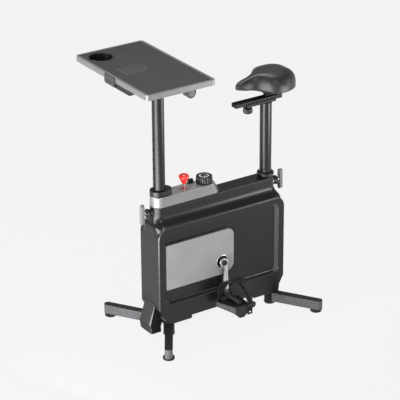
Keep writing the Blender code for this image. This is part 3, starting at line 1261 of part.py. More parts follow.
def make_saddle_bracket():
    front = REAR_POST_X + SADDLE_BRACKET_AHEAD_OF_POST
    rear = front - SADDLE_BRACKET_LENGTH
    inner = SADDLE_RAIL_WIDTH / 2 + SEAT_GAP
    outer = inner + SADDLE_BRACKET_WALL
    low = SADDLE_BRACKET_LOW
    floor = SADDLE_RAIL_LOW - SEAT_GAP
    high = SADDLE_RAIL_LOW + SADDLE_RAIL_HEIGHT * 0.35
    section = [(-outer, low), (outer, low), (outer, high), (inner, high), (inner, floor), (-inner, floor),
               (-inner, high), (-outer, high)]
    bracket = slab([section], rear, front, "YZ")
    plug_radius = POST_RADIUS - POST_WALL - SEAT_GAP
    plug = rod(plug_radius, SADDLE_POST_TOP - PLUG_LENGTH, low + 0.001, (REAR_POST_X, 0, 0))
    screw_hole = rod(CLAMP_SCREW_RADIUS + SEAT_GAP, low - 0.01, floor + 0.001, (CLAMP_KNOB_X, 0, 0), steps=12)
    return piece("saddle_bracket", bracket, trim_black, origin=(REAR_POST_X, 0, low), joined=[plug],
                 cut=[screw_hole])


def make_saddle_rail():
    front = REAR_POST_X + SADDLE_RAIL_AHEAD_OF_POST
    rear = front - SADDLE_RAIL_LENGTH
    half = SADDLE_RAIL_WIDTH / 2
    low = SADDLE_RAIL_LOW
    high = low + SADDLE_RAIL_HEIGHT
    section = [(-half, low), (half, low), (half, high), (0.005, high), (0.005, high - 0.004),
               (-0.005, high - 0.004), (-0.005, high), (-half, high)]
    rail = slab([section], rear, front, "YZ")
    stem = rod(SADDLE_STEM_RADIUS, high - 0.005, SADDLE_PAN_LOW - SEAT_GAP, (REAR_POST_X, 0, 0))
    return piece("saddle_rail", rail, trim_black, origin=(REAR_POST_X, 0, low), joined=[stem])


def make_clamp_knob():
    top = SADDLE_BRACKET_LOW - SEAT_GAP
    shoulder = top - CLAMP_KNOB_NECK
    low = shoulder - CLAMP_KNOB_HEIGHT
    wide = CLAMP_KNOB_RADIUS
    screw_top = SADDLE_RAIL_LOW - 2 * SEAT_GAP
    profile = [(0, screw_top), (CLAMP_SCREW_RADIUS, screw_top), (CLAMP_SCREW_RADIUS, top), (0.011, top), (0.011, shoulder),
               (wide - 0.002, shoulder - 0.001), (wide, shoulder - 0.004), (wide, low + 0.003), (wide - 0.003, low),
               (0, low)]
    knob = turned(profile, (CLAMP_KNOB_X, 0, 0), steps=20)
    return piece("saddle_clamp_knob", knob, trim_black, origin=(CLAMP_KNOB_X, 0, top))


# Half width of the saddle at a share of its length, 0 at the nose and 1 at the rear
def saddle_half_width(share):
    nose = 0.0175 + 0.001 * share
    spread = 1 / (1 + math.exp(-(share - 0.40) * 20.5))
    tail = math.sqrt(max(0.0, 1 - max(0.0, (share - 0.60) / 0.403) ** 2.05))
    tip = math.sqrt(max(0.0, 1 - max(0.0, (0.18 - share) / 0.185) ** 2))
    return (nose + (SADDLE_HALF_WIDTH - nose) * spread) * tail * tip


# Heights above the pan at a share of the length: crown, widest line and underside
def saddle_heights(share):
    spread = 1 / (1 + math.exp(-(share - 0.25) * 14.5))
    crown = 0.058 + (SADDLE_CROWN - 0.058) * spread
    tail = math.sqrt(max(0.0, 1 - max(0.0, (share - 0.68) / 0.335) ** 2.6))
    tip = math.sqrt(max(0.0, 1 - max(0.0, (0.135 - share) / 0.14) ** 2))
    under = 0.022 / (1 + math.exp((share - 0.34) * 11)) + 0.007 * max(0.0, 1 - share / 0.15)
    middle = under + 0.0105 + 0.007 * spread * tail
    crown = middle + (crown - middle) * tail * tip
    return crown, middle, under


def saddle_ring(share, base):
    x = SADDLE_NOSE_X - SADDLE_LENGTH * share
    half = saddle_half_width(share)
    crown, middle, under = saddle_heights(share)
    count = 20
    ring_points = []
    for i in range(count):
        angle = 2 * math.pi * i / count
        across = math.sin(angle)
        up = math.cos(angle)
        y = half * math.copysign(abs(across) ** 0.64, across)
        if up >= 0:
            z = middle + (crown - middle) * up ** 0.66
        else:
            z = middle - (middle - under) * (-up) ** 0.75
        ring_points.append((x, y, base + z))
    return ring_points


def make_saddle_cushion():
    base = SADDLE_PAN_LOW + SADDLE_PAN_THICKNESS + SEAT_GAP
    shares = [0.004, 0.03, 0.08, 0.15, 0.23, 0.31, 0.38, 0.45, 0.52, 0.60, 0.69, 0.78, 0.86, 0.92, 0.965, 0.992]
    cushion = loft([saddle_ring(share, base) for share in shares])
    return piece("saddle_cushion", cushion, saddle_slate, origin=(REAR_POST_X, 0, base))


def make_saddle_pan():
    stations = 8
    rings = []
    for i in range(stations + 1):
        share = 0.46 + 0.42 * i / stations
        x = SADDLE_NOSE_X - SADDLE_LENGTH * share
        half = saddle_half_width(share) * 0.5
        low = SADDLE_PAN_LOW
        high = low + SADDLE_PAN_THICKNESS
        rings.append([(x, -half * 0.9, low), (x, half * 0.9, low), (x, half, high), (x, -half, high)])
    return piece("saddle_pan", loft(rings), trim_black, origin=(REAR_POST_X, 0, SADDLE_PAN_LOW))


# Assembly

make_shell("left_shell", 1)
make_shell("right_shell", -1)
make_side_plate("left_side_plate", 1)
make_side_plate("right_side_plate", -1)
make_toe_block("front_toe_block", 1)
make_toe_block("rear_toe_block", -1)
make_console_cover()
make_front_collar()
make_rear_collar()
make_base_beam()
front_pivot, rear_pivot = leg_pivot_xs()
make_leg_bracket("front_leg_bracket", front_pivot)
make_leg_bracket("rear_leg_bracket", rear_pivot)
make_guide_tube("front_guide_tube", FRONT_POST_X, NECK_TOP, 1, FRONT_LOCK_Z)
make_guide_tube("rear_guide_tube", REAR_POST_X, NECK_TOP, -1, REAR_LOCK_Z)
make_drive_frame()
make_bearing("left_crank_bearing", FRAME_LEFT_Y + FRAME_PLATE / 2)
make_bearing("right_crank_bearing", FRAME_RIGHT_Y - FRAME_PLATE / 2)
make_flywheel_axle()
make_drive_belt()

crank = make_crank_axle()
left_arm = make_crank_arm("left_crank", 1)
right_arm = make_crank_arm("right_crank", -1)
hold(crank, make_drive_pulley(), left_arm, right_arm)
for side, word in ((1, "left"), (-1, "right")):
    pedal = make_pedal(f"{word}_pedal", side)
    hold(crank, make_pedal_spindle(f"{word}_pedal_spindle", side), pedal)
    hold(pedal, make_toe_strap(f"{word}_toe_strap", side))
make_flywheel()

for pivot_x, end, end_word in ((front_pivot, 1, "front"), (rear_pivot, -1, "rear")):
    for side, word in ((1, "left"), (-1, "right")):
        leg_name = f"{end_word}_{word}"
        leg = make_leg(f"{leg_name}_leg", pivot_x, end, side)
        hold(leg, make_foot(f"{leg_name}_foot", pivot_x, end, side))

brake_knob = make_brake_knob()
hold(brake_knob, make_brake_stem())
make_resistance_knob()
make_magnet_arm()
make_console_switch()
make_lock_knob("front_lock_knob", FRONT_POST_X, 1, FRONT_LOCK_Z)
make_lock_knob("rear_lock_knob", REAR_POST_X, -1, REAR_LOCK_Z)

desk_post = make_desk_post()
crossbar = make_desk_crossbar()
hold(desk_post, make_desk_head(), crossbar)
hold(crossbar, make_desk_rim(), make_desk_top(), make_cup_insert(), make_tablet_flap(), make_desk_latch(),
     make_release_bar())

saddle_post = post_tube("saddle_post", REAR_POST_X, SADDLE_POST_BOTTOM, SADDLE_POST_TOP)
rail = make_saddle_rail()
hold(saddle_post, make_saddle_bracket(), make_clamp_knob(), rail)
hold(rail, make_saddle_pan(), make_saddle_cushion())
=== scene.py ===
import math

import bmesh
import bpy
from mathutils import Matrix, Vector


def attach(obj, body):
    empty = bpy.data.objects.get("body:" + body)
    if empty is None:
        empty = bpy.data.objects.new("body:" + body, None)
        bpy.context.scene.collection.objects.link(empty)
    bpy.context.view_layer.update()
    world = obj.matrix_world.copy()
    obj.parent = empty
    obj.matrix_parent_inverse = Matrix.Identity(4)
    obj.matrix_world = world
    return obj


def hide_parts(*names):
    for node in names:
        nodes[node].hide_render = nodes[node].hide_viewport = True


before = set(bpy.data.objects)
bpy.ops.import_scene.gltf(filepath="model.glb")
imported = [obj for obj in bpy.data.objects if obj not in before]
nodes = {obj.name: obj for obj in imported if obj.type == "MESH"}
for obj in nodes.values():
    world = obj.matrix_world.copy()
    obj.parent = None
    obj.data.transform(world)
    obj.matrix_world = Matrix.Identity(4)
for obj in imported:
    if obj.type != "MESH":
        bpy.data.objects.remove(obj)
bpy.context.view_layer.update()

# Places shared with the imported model, in metres
frontPostX = 0.1976
rearPostX = frontPostX - 0.474
frontPost, rearPost = (frontPostX, 0, 0), (rearPostX, 0, 0)
postRadius = 0.0225
housingFront = frontPostX + 0.0457
housingRear = rearPostX - 0.0457
housingMiddle = (housingFront + housingRear) / 2
halfWidth = 0.0645
housingTop = 0.447
neckTop = 0.516
crankX = frontPostX - 0.236
crankZ = 0.244
crankTilt = math.radians(-94.9)
crankLength = 0.132
crankHole = 0.0235
crankCenter = (crankX, 0, crankZ)
brakeX = frontPostX - 0.108
dialX = frontPostX - 0.197
switchX, switchY = frontPostX - 0.152, -0.0245
switchHole = (0.0104, 0.0059)
frontLockZ, rearLockZ = 0.494, 0.486
legSplay = math.radians(33)
pivotY = 0.045
frontPivotX = housingFront - 0.0517
rearPivotX = housingRear + 0.0517
sides = ((1, "left"), (-1, "right"))
gap = 0.0003  # between pieces that don't touch
tiny = 0.00001


# Shapes

def arcPoints(center, radius, start, end, steps):
    angles = [math.radians(start + (end - start) * i / steps) for i in range(steps + 1)]
    return [(center[0] + radius * math.cos(a), center[1] + radius * math.sin(a)) for a in angles]


def circleLoop(center, radius, steps):
    return arcPoints(center, radius, 0, 360, steps)[:-1]


def rectangle(low, high):
    return [low, (high[0], low[1]), high, (low[0], high[1])]


def roundedLoop(low, high, radius, steps=8):
    (x0, y0), (x1, y1) = low, high
    corners = [(x1 - radius, y1 - radius), (x0 + radius, y1 - radius), (x0 + radius, y0 + radius),
               (x1 - radius, y0 + radius)]
    return [point for i, corner in enumerate(corners)
            for point in arcPoints(corner, radius, 90 * i, 90 * i + 90, steps)]


# Two half circles round the X axis, joined by straight lines
def stadiumLoop(front, rear, radius, steps):
    return arcPoints((front, 0), radius, -90, 90, steps) + arcPoints((rear, 0), radius, 90, 270, steps)


# Points given in millimetres from a place, in metres
def fromMm(points, x=0.0, z=0.0):
    return [(x + a / 1000, z + b / 1000) for a, b in points]


# How far down and how far in the steps of a rounded edge lie, as shares of its radius
def roundSteps(steps=6, first=1):
    angles = [math.radians(90 / steps * i) for i in range(first, steps + 1)]
    return [(1 - math.sin(a), 1 - math.cos(a)) for a in angles]


# Corners of a path rounded off, each by its own radius
def filletPath(points, radii, steps=5):
    rounded = []
    for i, corner in enumerate(points):
        corner = Vector(corner)
        if radii[i] <= 0:
            rounded.append(tuple(corner))
            continue
        before = Vector(points[i - 1]) - corner
        after = Vector(points[(i + 1) % len(points)]) - corner
        reach = min(radii[i], before.length * 0.49, after.length * 0.49)
        start = corner + before.normalized() * reach
        end = corner + after.normalized() * reach
        for k in range(steps + 1):
            t = k / steps
            rounded.append(tuple(start * (1 - t) ** 2 + corner * 2 * t * (1 - t) + end * t * t))
    return rounded


planes = {
    "XY": Matrix.Identity(4),
    "XZ": Matrix(((1, 0, 0, 0), (0, 0, 1, 0), (0, 1, 0, 0), (0, 0, 0, 1))),
    "YZ": Matrix(((0, 0, 1, 0), (1, 0, 0, 0), (0, 1, 0, 0), (0, 0, 0, 1))),
}
axisTurns = {
    "X": Matrix.Rotation(math.pi / 2, 4, "Y"),
    "Y": Matrix.Rotation(-math.pi / 2, 4, "X"),
    "Z": Matrix.Identity(4),
}


def faceOutward(shape):
    shape.normal_update()
    bmesh.ops.recalc_face_normals(shape, faces=shape.faces)
    if shape.calc_volume(signed=True) < 0:
        bmesh.ops.reverse_faces(shape, faces=shape.faces)
    return shape


# An outline, with holes if more loops are given, made thick across its plane
def slabMesh(loops, low, high, plane="XY"):
    curve = bpy.data.curves.new("outline", "CURVE")
    curve.dimensions = "2D"
    curve.fill_mode = "BOTH"
    curve.extrude = (high - low) / 2
    for loop in loops:
        spline = curve.splines.new("POLY")
        spline.points.add(len(loop) - 1)
        for point, (a, b) in zip(spline.points, loop):
            point.co = (a, b, 0, 1)
        spline.use_cyclic_u = True
    helper = bpy.data.objects.new("outline", curve)
    shape = bmesh.new()
    shape.from_mesh(helper.to_mesh())
    helper.to_mesh_clear()
    bpy.data.objects.remove(helper)
    bmesh.ops.remove_doubles(shape, verts=shape.verts, dist=0.000002)
    shape.transform(planes[plane] @ Matrix.Translation((0, 0, (low + high) / 2)))
    return faceOutward(shape)


# A profile of radius and height turned round an axis
def turnedMesh(profile, base=(0, 0, 0), axis="Z", steps=64, closed=False, radiusAt=None):
    shape = bmesh.new()
    rings = []
    for radius, height in profile:
        ring = []
        for i in range(steps if radius > tiny else 1):
            angle = 2 * math.pi * i / steps
            r = radiusAt(radius, height, angle) if radiusAt and radius > tiny else radius
            ring.append(shape.verts.new((r * math.cos(angle), r * math.sin(angle), height)))
        rings.append(ring)
    pairs = list(zip(rings, rings[1:]))
    if closed:
        pairs.append((rings[-1], rings[0]))
    for lower, upper in pairs:
        for i in range(steps):
            j = (i + 1) % steps
            # A pole's single vertex counts once
            corners = list(dict.fromkeys((lower[i % len(lower)], lower[j % len(lower)],
                                          upper[j % len(upper)], upper[i % len(upper)])))
            if len(corners) > 2:
                shape.faces.new(corners)
    shape.transform(Matrix.Translation(base) @ axisTurns[axis])
    return faceOutward(shape)


def rodMesh(radius, start, end, base=(0, 0, 0), axis="Z", steps=48):
    return turnedMesh([(0, start), (radius, start), (radius, end), (0, end)], base, axis, steps)


def loftMesh(rings):
    shape = bmesh.new()
    loops = [[shape.verts.new(point) for point in ring] for ring in rings]
    for lower, upper in zip(loops, loops[1:]):
        count = len(lower)
        for i in range(count):
            j = (i + 1) % count
            shape.faces.new((lower[i], lower[j], upper[j], upper[i]))
    shape.faces.new(list(reversed(loops[0])))
    shape.faces.new(loops[-1])
    return faceOutward(shape)


def boxMesh(low, high):
    shape = bmesh.new()
    bmesh.ops.create_cube(shape, size=1.0)
    low, high = Vector(low), Vector(high)
    shape.transform(Matrix.Translation((high + low) / 2) @ Matrix.Diagonal((*(high - low), 1)))
    return shape


# Rounds the edges that turn more than the degrees, or the chosen ones of them
def soften(shape, width, segments=3, degrees=30, chosen=None):
    edges = [edge for edge in shape.edges if len(edge.link_faces) == 2
             and edge.calc_face_angle(0) > math.radians(degrees) and (chosen is None or chosen(edge))]
    bmesh.ops.bevel(shape, geom=edges, offset=width, segments=segments, profile=0.5,
                    affect="EDGES", clamp_overlap=True)
    return shape


# Chooses the edges whose two ends pass a test
def bothEnds(test):
    return lambda edge: all(test(vert.co) for vert in edge.verts)


def onPlane(axis, value):
    return bothEnds(lambda co: value - tiny <= co[axis] <= value + tiny)


def meshObject(name, shape):
    mesh = bpy.data.meshes.new(name)
    shape.to_mesh(mesh)
    shape.free()
    made = bpy.data.objects.new(name, mesh)
    bpy.context.scene.collection.objects.link(made)
    return made


# The shape joined with others or cut by them
def combined(shape, joined=(), cut=()):
    base = meshObject("base", shape)
    tools = []
    for operation, others in (("UNION", joined), ("DIFFERENCE", cut)):
        for other in others:
            tool = meshObject("tool", other)
            tools.append(tool)
            modifier = base.modifiers.new("cut", "BOOLEAN")
            modifier.operation = operation
            modifier.solver = "EXACT"
            modifier.object = tool
    bpy.context.view_layer.update()
    graph = bpy.context.evaluated_depsgraph_get()
    mesh = bpy.data.meshes.new_from_object(base.evaluated_get(graph))
    result = bmesh.new()
    result.from_mesh(mesh)
    bpy.data.meshes.remove(mesh)
    for gone in [base, *tools]:
        bpy.data.objects.remove(gone, do_unlink=True)
    return result


# The left side's shape, or its mirror image for the right side
def sided(shape, side):
    if side < 0:
        shape.transform(Matrix.Diagonal((1, -1, 1, 1)))
        bmesh.ops.reverse_faces(shape, faces=shape.faces)
    return shape


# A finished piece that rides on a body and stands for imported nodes
def makePiece(name, shape, material, body, replaced=(), angle=32, others=()):
    made = meshObject(name, shape)
    made.data.materials.append(material)
    for index, (extra, wanted) in enumerate(others, 1):
        made.data.materials.append(extra)
        for face in made.data.polygons:
            if wanted(face):
                face.material_index = index
    made.data.shade_smooth()
    made.data.set_sharp_from_angle(angle=math.radians(angle))
    made.modifiers.new("weighted", "WEIGHTED_NORMAL").keep_sharp = True
    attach(made, body)
    if replaced:
        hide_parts(*replaced)
    return made


def smoothed(made):
    smooth = made.modifiers.new("smooth", "SUBSURF")
    smooth.levels = smooth.render_levels = 1


# Materials

def linearColor(code):
    channels = []
    for i in (0, 2, 4):
        value = int(code[i:i + 2], 16) / 255
        channels.append(value / 12.92 if value <= 0.04045 else ((value + 0.055) / 1.055) ** 2.4)
    return (*channels, 1.0)


def setInputs(node, values):
    for key, value in values.items():
        node.inputs[key].default_value = value


def addNode(tree, kind, **settings):
    node = tree.nodes.new(kind)
    for key, value in settings.items():
        if key in node.inputs:
            node.inputs[key].default_value = value
        else:
            setattr(node, key, value)
    return node


def connect(tree, *links):
    for source, output, target, entry in links:
        tree.links.new(source.outputs[output], target.inputs[entry])


def newSurface(name):
    material = bpy.data.materials.new(name)
    material.use_nodes = True
    return material, material.node_tree, material.node_tree.nodes["Principled BSDF"]


# Base surface: colour with slow variation, roughness variation and a fine bump, all in real sizes
def surface(name, dark, light, roughness, grain, bump, metallic=0.0, spread=0.06, patch=0.05,
            stretch=(1, 1, 1), level=0.5, coat=0.0, coatRoughness=0.1, sheen=0.0):
    material, tree, shader = newSurface(name)
    setInputs(shader, {"Metallic": metallic, "Specular IOR Level": level, "Coat Weight": coat,
                       "Coat Roughness": coatRoughness, "Sheen Weight": sheen})
    where = addNode(tree, "ShaderNodeTexCoord")
    stretched = addNode(tree, "ShaderNodeMapping", Scale=stretch)
    slow = addNode(tree, "ShaderNodeTexNoise", Scale=1 / patch, Detail=4.0, Roughness=0.6)
    ramp = addNode(tree, "ShaderNodeValToRGB")
    for stop, place, code in zip(ramp.color_ramp.elements, (0.3, 0.7), (dark, light)):
        stop.position = place
        stop.color = linearColor(code)
    fine = addNode(tree, "ShaderNodeTexNoise", Scale=1 / grain, Detail=3.0, Roughness=0.55)
    rough = addNode(tree, "ShaderNodeMapRange")
    setInputs(rough, {"To Min": roughness - spread, "To Max": roughness + spread})
    raised = addNode(tree, "ShaderNodeBump", Strength=bump, Distance=grain * 0.25)
    connect(tree, (where, "Object", stretched, "Vector"), (where, "Object", slow, "Vector"),
            (slow, "Fac", ramp, "Fac"), (ramp, "Color", shader, "Base Color"),
            (stretched, "Vector", fine, "Vector"), (fine, "Fac", rough, "Value"),
            (rough, "Result", shader, "Roughness"), (fine, "Fac", raised, "Height"),
            (raised, "Normal", shader, "Normal"))
    return material


# Moulded ABS with a fine spark-eroded texture
housingPlastic = surface("moulded_black_abs", "101011", "141415", 0.30, 0.0009, 0.03, level=0.36, spread=0.03)
# The same plastic, painted lighter along its rounded edges as a painted highlight
edgeHighlightPaint = surface("abs_painted_edge_highlight", "303032", "363638", 0.22, 0.0009, 0.04, level=0.7)
# The same plastic on the end blocks, painted a little lighter to stand in for the light on their front faces
toeLighterPaint = surface("moulded_abs_painted_lighter", "1b1b1c", "202021", 0.30, 0.0009, 0.03, level=0.42, spread=0.03)
# Small moulded trim, collars and knobs
trimPlastic = surface("moulded_trim", "0b0b0c", "101011", 0.38, 0.0007, 0.12, level=0.45)
# Silver lacquer with a fine brushed run along the plate
silverPaint = surface("brushed_silver_lacquer", "828282", "8a8a8a", 0.42, 0.0006, 0.05, metallic=0.35,
                      stretch=(1, 1, 0.03), spread=0.04, patch=0.09, level=0.35)
# The console's side, in the same lacquer
consolePaint = surface("console_lacquer", "747474", "7c7c7c", 0.32, 0.0006, 0.05, metallic=0.35,
                       spread=0.04, patch=0.09)
# The console's polished top
silverGloss = surface("polished_silver_top", "a2a2a2", "aaaaaa", 0.10, 0.02, 0.01, metallic=0.45, spread=0.02)
# Powder-coated round tube
postPaint = surface("semi_gloss_powder_coat", "1a1b1c", "202122", 0.28, 0.0014, 0.008, metallic=0.45,
                    spread=0.01)
# Zinc-plated inner steel
innerSteel = surface("plated_inner_steel", "6c6d70", "7c7d80", 0.42, 0.0012, 0.06, metallic=0.9)
# Blackened steel of the pedal spindles
darkSteel = surface("blackened_steel", "242526", "2c2d2e", 0.38, 0.0010, 0.05, metallic=0.6)
# Leg tube in grey powder coat, with a darker cap
legPaint = surface("grey_powder_coat", "4a4b4d", "515254", 0.40, 0.0010, 0.02, metallic=0.3, spread=0.02)
legTopPaint = surface("dark_leg_cap", "161617", "1b1b1c", 0.46, 0.0010, 0.03, level=0.35, spread=0.03)
# Rubber of straps, feet and belt
blackRubber = surface("black_rubber", "0b0b0c", "101011", 0.62, 0.0008, 0.25, level=0.35)
# Matt black steel of the saddle slide and black feet; also painted on the toe blocks' side faces as painted
# shade
matteBlackAndShade = surface("matt_black_coat_and_painted_shade", "070708", "0b0b0c", 0.50, 0.0009, 0.10, level=0.22)
# Polished crank metal
polished = surface("polished_alloy", "cbcbcb", "d8d8d8", 0.20, 0.0030, 0.03, metallic=1.0, spread=0.05)
# Gloss red grip, also on the ring at its foot as a painted reflection
redPlasticAndReflection = surface("gloss_red_plastic_and_painted_reflection", "e2231a", "ee2a1e", 0.22, 0.010, 0.02, coat=0.8, coatRoughness=0.05)
# Desk laminate with a close leather-like emboss, and its smoother flap
deskLaminate = surface("embossed_laminate", "29292b", "2e2e30", 0.52, 0.0007, 0.16, level=0.35)
flapPlastic = surface("flap_moulding", "2f2f31", "343436", 0.46, 0.0008, 0.10)
# Satin metal edge of the desk
rimMetal = surface("satin_rim", "7c7c7d", "858586", 0.34, 0.0012, 0.015, metallic=0.6, spread=0.02)
# Grey moulded parts; the darker one is also painted on the toe blocks' ridges as a painted highlight
greyPlastic = surface("grey_moulding", "636364", "6c6c6d", 0.38, 0.0008, 0.10)
darkGreyAndHighlight = surface("dark_grey_moulding_and_painted_highlight", "2c2d2e", "333435", 0.42, 0.0008, 0.10)
# Printed marks on the dial
paleInk = surface("pale_print", "e4e4e5", "ececed", 0.50, 0.0006, 0.05)
# Saddle cover with fine cells pressed into it
saddleCover = surface("slate_leatherette", "0d0e11", "121317", 0.46, 0.0011, 0.08, level=0.42, sheen=0.04,
                      coat=0.25, coatRoughness=0.34)


def pressCells(material, scale, edge, strength):
    tree = material.node_tree
    where = addNode(tree, "ShaderNodeTexCoord")
    cells = addNode(tree, "ShaderNodeTexVoronoi", Scale=scale, Randomness=1.0, feature="DISTANCE_TO_EDGE")
    limited = addNode(tree, "ShaderNodeMapRange")
    setInputs(limited, {"From Max": edge})
    raised = addNode(tree, "ShaderNodeBump", Strength=strength, Distance=0.0002)
    connect(tree, (where, "Object", cells, "Vector"), (cells, "Distance", limited, "Value"),
            (limited, "Result", raised, "Height"), (raised, "Normal", tree.nodes["Principled BSDF"], "Normal"))


pressCells(saddleCover, 620.0, 0.12, 0.12)
print("materials done")


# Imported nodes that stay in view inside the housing

repainted = {
    innerSteel: ("front_guide_tube", "rear_guide_tube", "base_beam", "drive_frame", "crank_axle", "flywheel",
                 "magnet_arm"),
    polished: ("left_crank_bearing", "right_crank_bearing", "flywheel_axle", "left_pedal_spindle",
               "right_pedal_spindle"),
    blackRubber: ("drive_belt",),
    trimPlastic: ("drive_pulley", "front_leg_bracket", "rear_leg_bracket"),
}
for material, names in repainted.items():
    for name in names:
        nodes[name].data.materials.clear()
        nodes[name].data.materials.append(material)


# Housing

shell = {"wall": 0.0025, "shoulder": 0.045, "edge": 0.0045, "seam": 0.0002, "skirt": 0.0475, "belly": 0.0607,
         "skirtLength": 0.143, "cutTop": 0.116, "cutBottom": 0.060, "cutDepth": 0.030,
         "neckHalf": 0.034, "neckFront": frontPostX + 0.036, "neckRear": rearPostX - 0.030,
         "flare": 0.0265, "endFlare": 0.008, "flareHeight": 0.040, "ease": 0.034, "drop": 0.0005,
         "pivotHole": 0.0168, "postHole": 0.0257, "lockHole": 0.0123}
recess = {"lowX": housingRear + 0.028, "highX": housingFront - 0.028, "lowZ": 0.130, "highZ": 0.422,
          "corner": 0.022, "front": 0.003, "rear": 0.013, "bottom": 0.010, "top": 0.006}
cutSlope = (shell["cutTop"] - shell["cutBottom"]) / shell["cutDepth"]
shoulderLow = housingTop - shell["shoulder"]
neckStart = housingTop - shell["drop"]


# An outline mirrored to the other end of the housing
def otherEnd(loop):
    return [(2 * housingMiddle - x, z) for x, z in loop]


def cornerCutLine(inset):
    top = Vector((housingFront, shell["cutTop"]))
    bottom = Vector((housingFront - shell["cutDepth"], shell["cutBottom"]))
    along = (bottom - top).normalized()
    start = top + Vector((along.y, -along.x)) * inset
    return [(x, start.y + along.y * (x - start.x) / along.x)
            for x in (housingFront - inset, housingFront - shell["cutDepth"] - inset)]


# The rounded step from the skirt up to the belly
def skirtStep(inset):
    foot = shell["skirt"] + inset
    step = housingFront - shell["skirtLength"] + inset
    return filletPath([(step + 0.02, foot), (step, foot), (step, shell["belly"] + inset)], [0, 0.008, 0])


def housingLoop(inset, steps):
    center = (housingFront - shell["shoulder"], shoulderLow)
    upper, lower = cornerCutLine(inset)
    half = arcPoints(center, shell["shoulder"] - inset, 0, 90, steps)[::-1]
    half += [upper, lower, (lower[0], shell["skirt"] + inset)] + skirtStep(inset)
    return half + otherEnd(half[::-1])


# Larger of two values, eased over where they meet
def easedLarger(a, b, reach):
    if reach <= 0:
        return max(a, b)
    share = max(reach - abs(a - b), 0.0) / reach
    return max(a, b) + share * share * reach / 4


# How far a rounded corner holds the end back at a distance from the middle
def cornerHold(y, half, radius):
    over = abs(y) - (half - radius)
    if over <= 0:
        return 0.0
    if over >= radius:
        return radius + (over - radius) * 3
    return radius - math.sqrt(radius * radius - over * over)


# How much of its spread the neck has at a height
def flareShare(z):
    if z <= neckStart:
        return 1.0
    t = min(1.0, (z - housingTop + shell["drop"]) / shell["flareHeight"])
    return (1 - t) ** 2.6 * (1 - 0.15 * t)


# Heights up the neck, each with what its rounded top edge takes off
def neckLevels(top, levels):
    rising = [(housingTop + shell["flareHeight"] * (i / levels) ** 1.5, 0) for i in range(1, levels + 1)]
    return rising + [(top - 0.002, 0), (top - 0.0006, 0.0006), (top, 0.002)]


# Plan rings of the whole body: side shoulders below, the flared neck above, eased into each other
def bodyRings():
    across, shoulderSteps = 52, 20
    rise = shell["shoulder"] - shell["drop"]
    radius = shell["neckHalf"] - 0.0002
    levels = [(z, 0) for z in (shell["skirt"] - 0.01, 0.2, 0.3, shoulderLow - 0.01)]
    levels += [(shoulderLow + rise * math.sin(math.pi / 2 * i / shoulderSteps), 0)
               for i in range(shoulderSteps + 1)]
    rings = []
    for z, trim in levels + neckLevels(neckTop, 16):
        share = min(1.0, max(0.0, (z - shoulderLow) / rise))
        flare = flareShare(z)
        neckHalf = shell["neckHalf"] + shell["flare"] * flare - trim
        half = neckHalf if share >= 1 else neckHalf + (halfWidth - neckHalf) * (1 - share ** 20)
        reach = shell["endFlare"] * flare - trim
        hold = shell["shoulder"] * (1 - math.sqrt(1 - share * share))
        ring = []
        for way, neckEnd, bodyEnd, power in ((1, shell["neckFront"] + reach, housingFront, 14),
                                             (-1, shell["neckRear"] - reach, housingRear, 3.2)):
            filled = bodyEnd - way * 0.0004 + (neckEnd - bodyEnd + way * 0.0004) * share ** power
            for k in range(across + 1):
                y = half * math.sin(way * math.pi * (k / across - 0.5))
                x = way * filled - cornerHold(y, neckHalf, radius)
                if share < 1:
                    bodyX = way * bodyEnd - hold - cornerHold(y, half, shell["edge"])
                    x = easedLarger(x, bodyX, shell["ease"] * share * share)
                ring.append((way * x, y, z))
        rings.append(ring)
    return rings


# Corner cut and the open arch under the body, as outlines to cut away
def undersideLoops():
    cornerX, ahead = housingFront - shell["cutDepth"], housingFront + 0.02
    corner = [(ahead, shell["cutTop"] + 0.02 * cutSlope), (cornerX, shell["cutBottom"]), (cornerX, 0.0),
              (ahead, 0.0)]
    half = [(cornerX + 0.002, shell["skirt"] - 0.02), (cornerX + 0.002, shell["skirt"])] + skirtStep(0)
    return [corner, otherEnd(corner), half + otherEnd(half[::-1])]


# The hollow inside the neck
def neckRings(wall, top, steps, levels):
    rings = []
    for z, inset in [(housingTop - 0.017, 0), (neckStart, 0)] + neckLevels(top, levels):
        share = flareShare(z)
        half = shell["neckHalf"] - wall + shell["flare"] * share - inset
        reach = shell["endFlare"] * share - wall - inset
        loop = roundedLoop((shell["neckRear"] - reach, -half), (shell["neckFront"] + reach, half),
                           min(half, shell["neckHalf"]) - 0.0002, steps)
        rings.append([(x, y, z) for x, y in loop])
    return rings


# Recess with a rounded lip at its mouth and a cove at its floor: depth, and share of the slope or -lip
def recessRings(extra, steps):
    stations = [(-0.010, -0.0024), (0.0, -0.0024), (0.0003, -0.0014), (0.0012, -0.0005), (0.0026, 0.0),
                (0.0108, 0.70), (0.0121, 0.85), (0.0124, 1.0), (0.0130, 1.02), (0.0130, 1.3)]
    rings = []
    for depth, share in reversed(stations):
        slide = max(0.0, min(1.0, share))
        out = extra - min(0.0, share) - max(0.0, share - 1.0) * 0.0035
        low = (recess["lowX"] + recess["rear"] * slide - out, recess["lowZ"] + recess["bottom"] * slide - out)
        high = (recess["highX"] - recess["front"] * slide + out, recess["highZ"] - recess["top"] * slide + out)
        y = halfWidth - depth - (extra if depth > 0 else 0)
        rings.append([(x, y, z) for x, z in roundedLoop(low, high, recess["corner"] + out, steps)])
    return rings


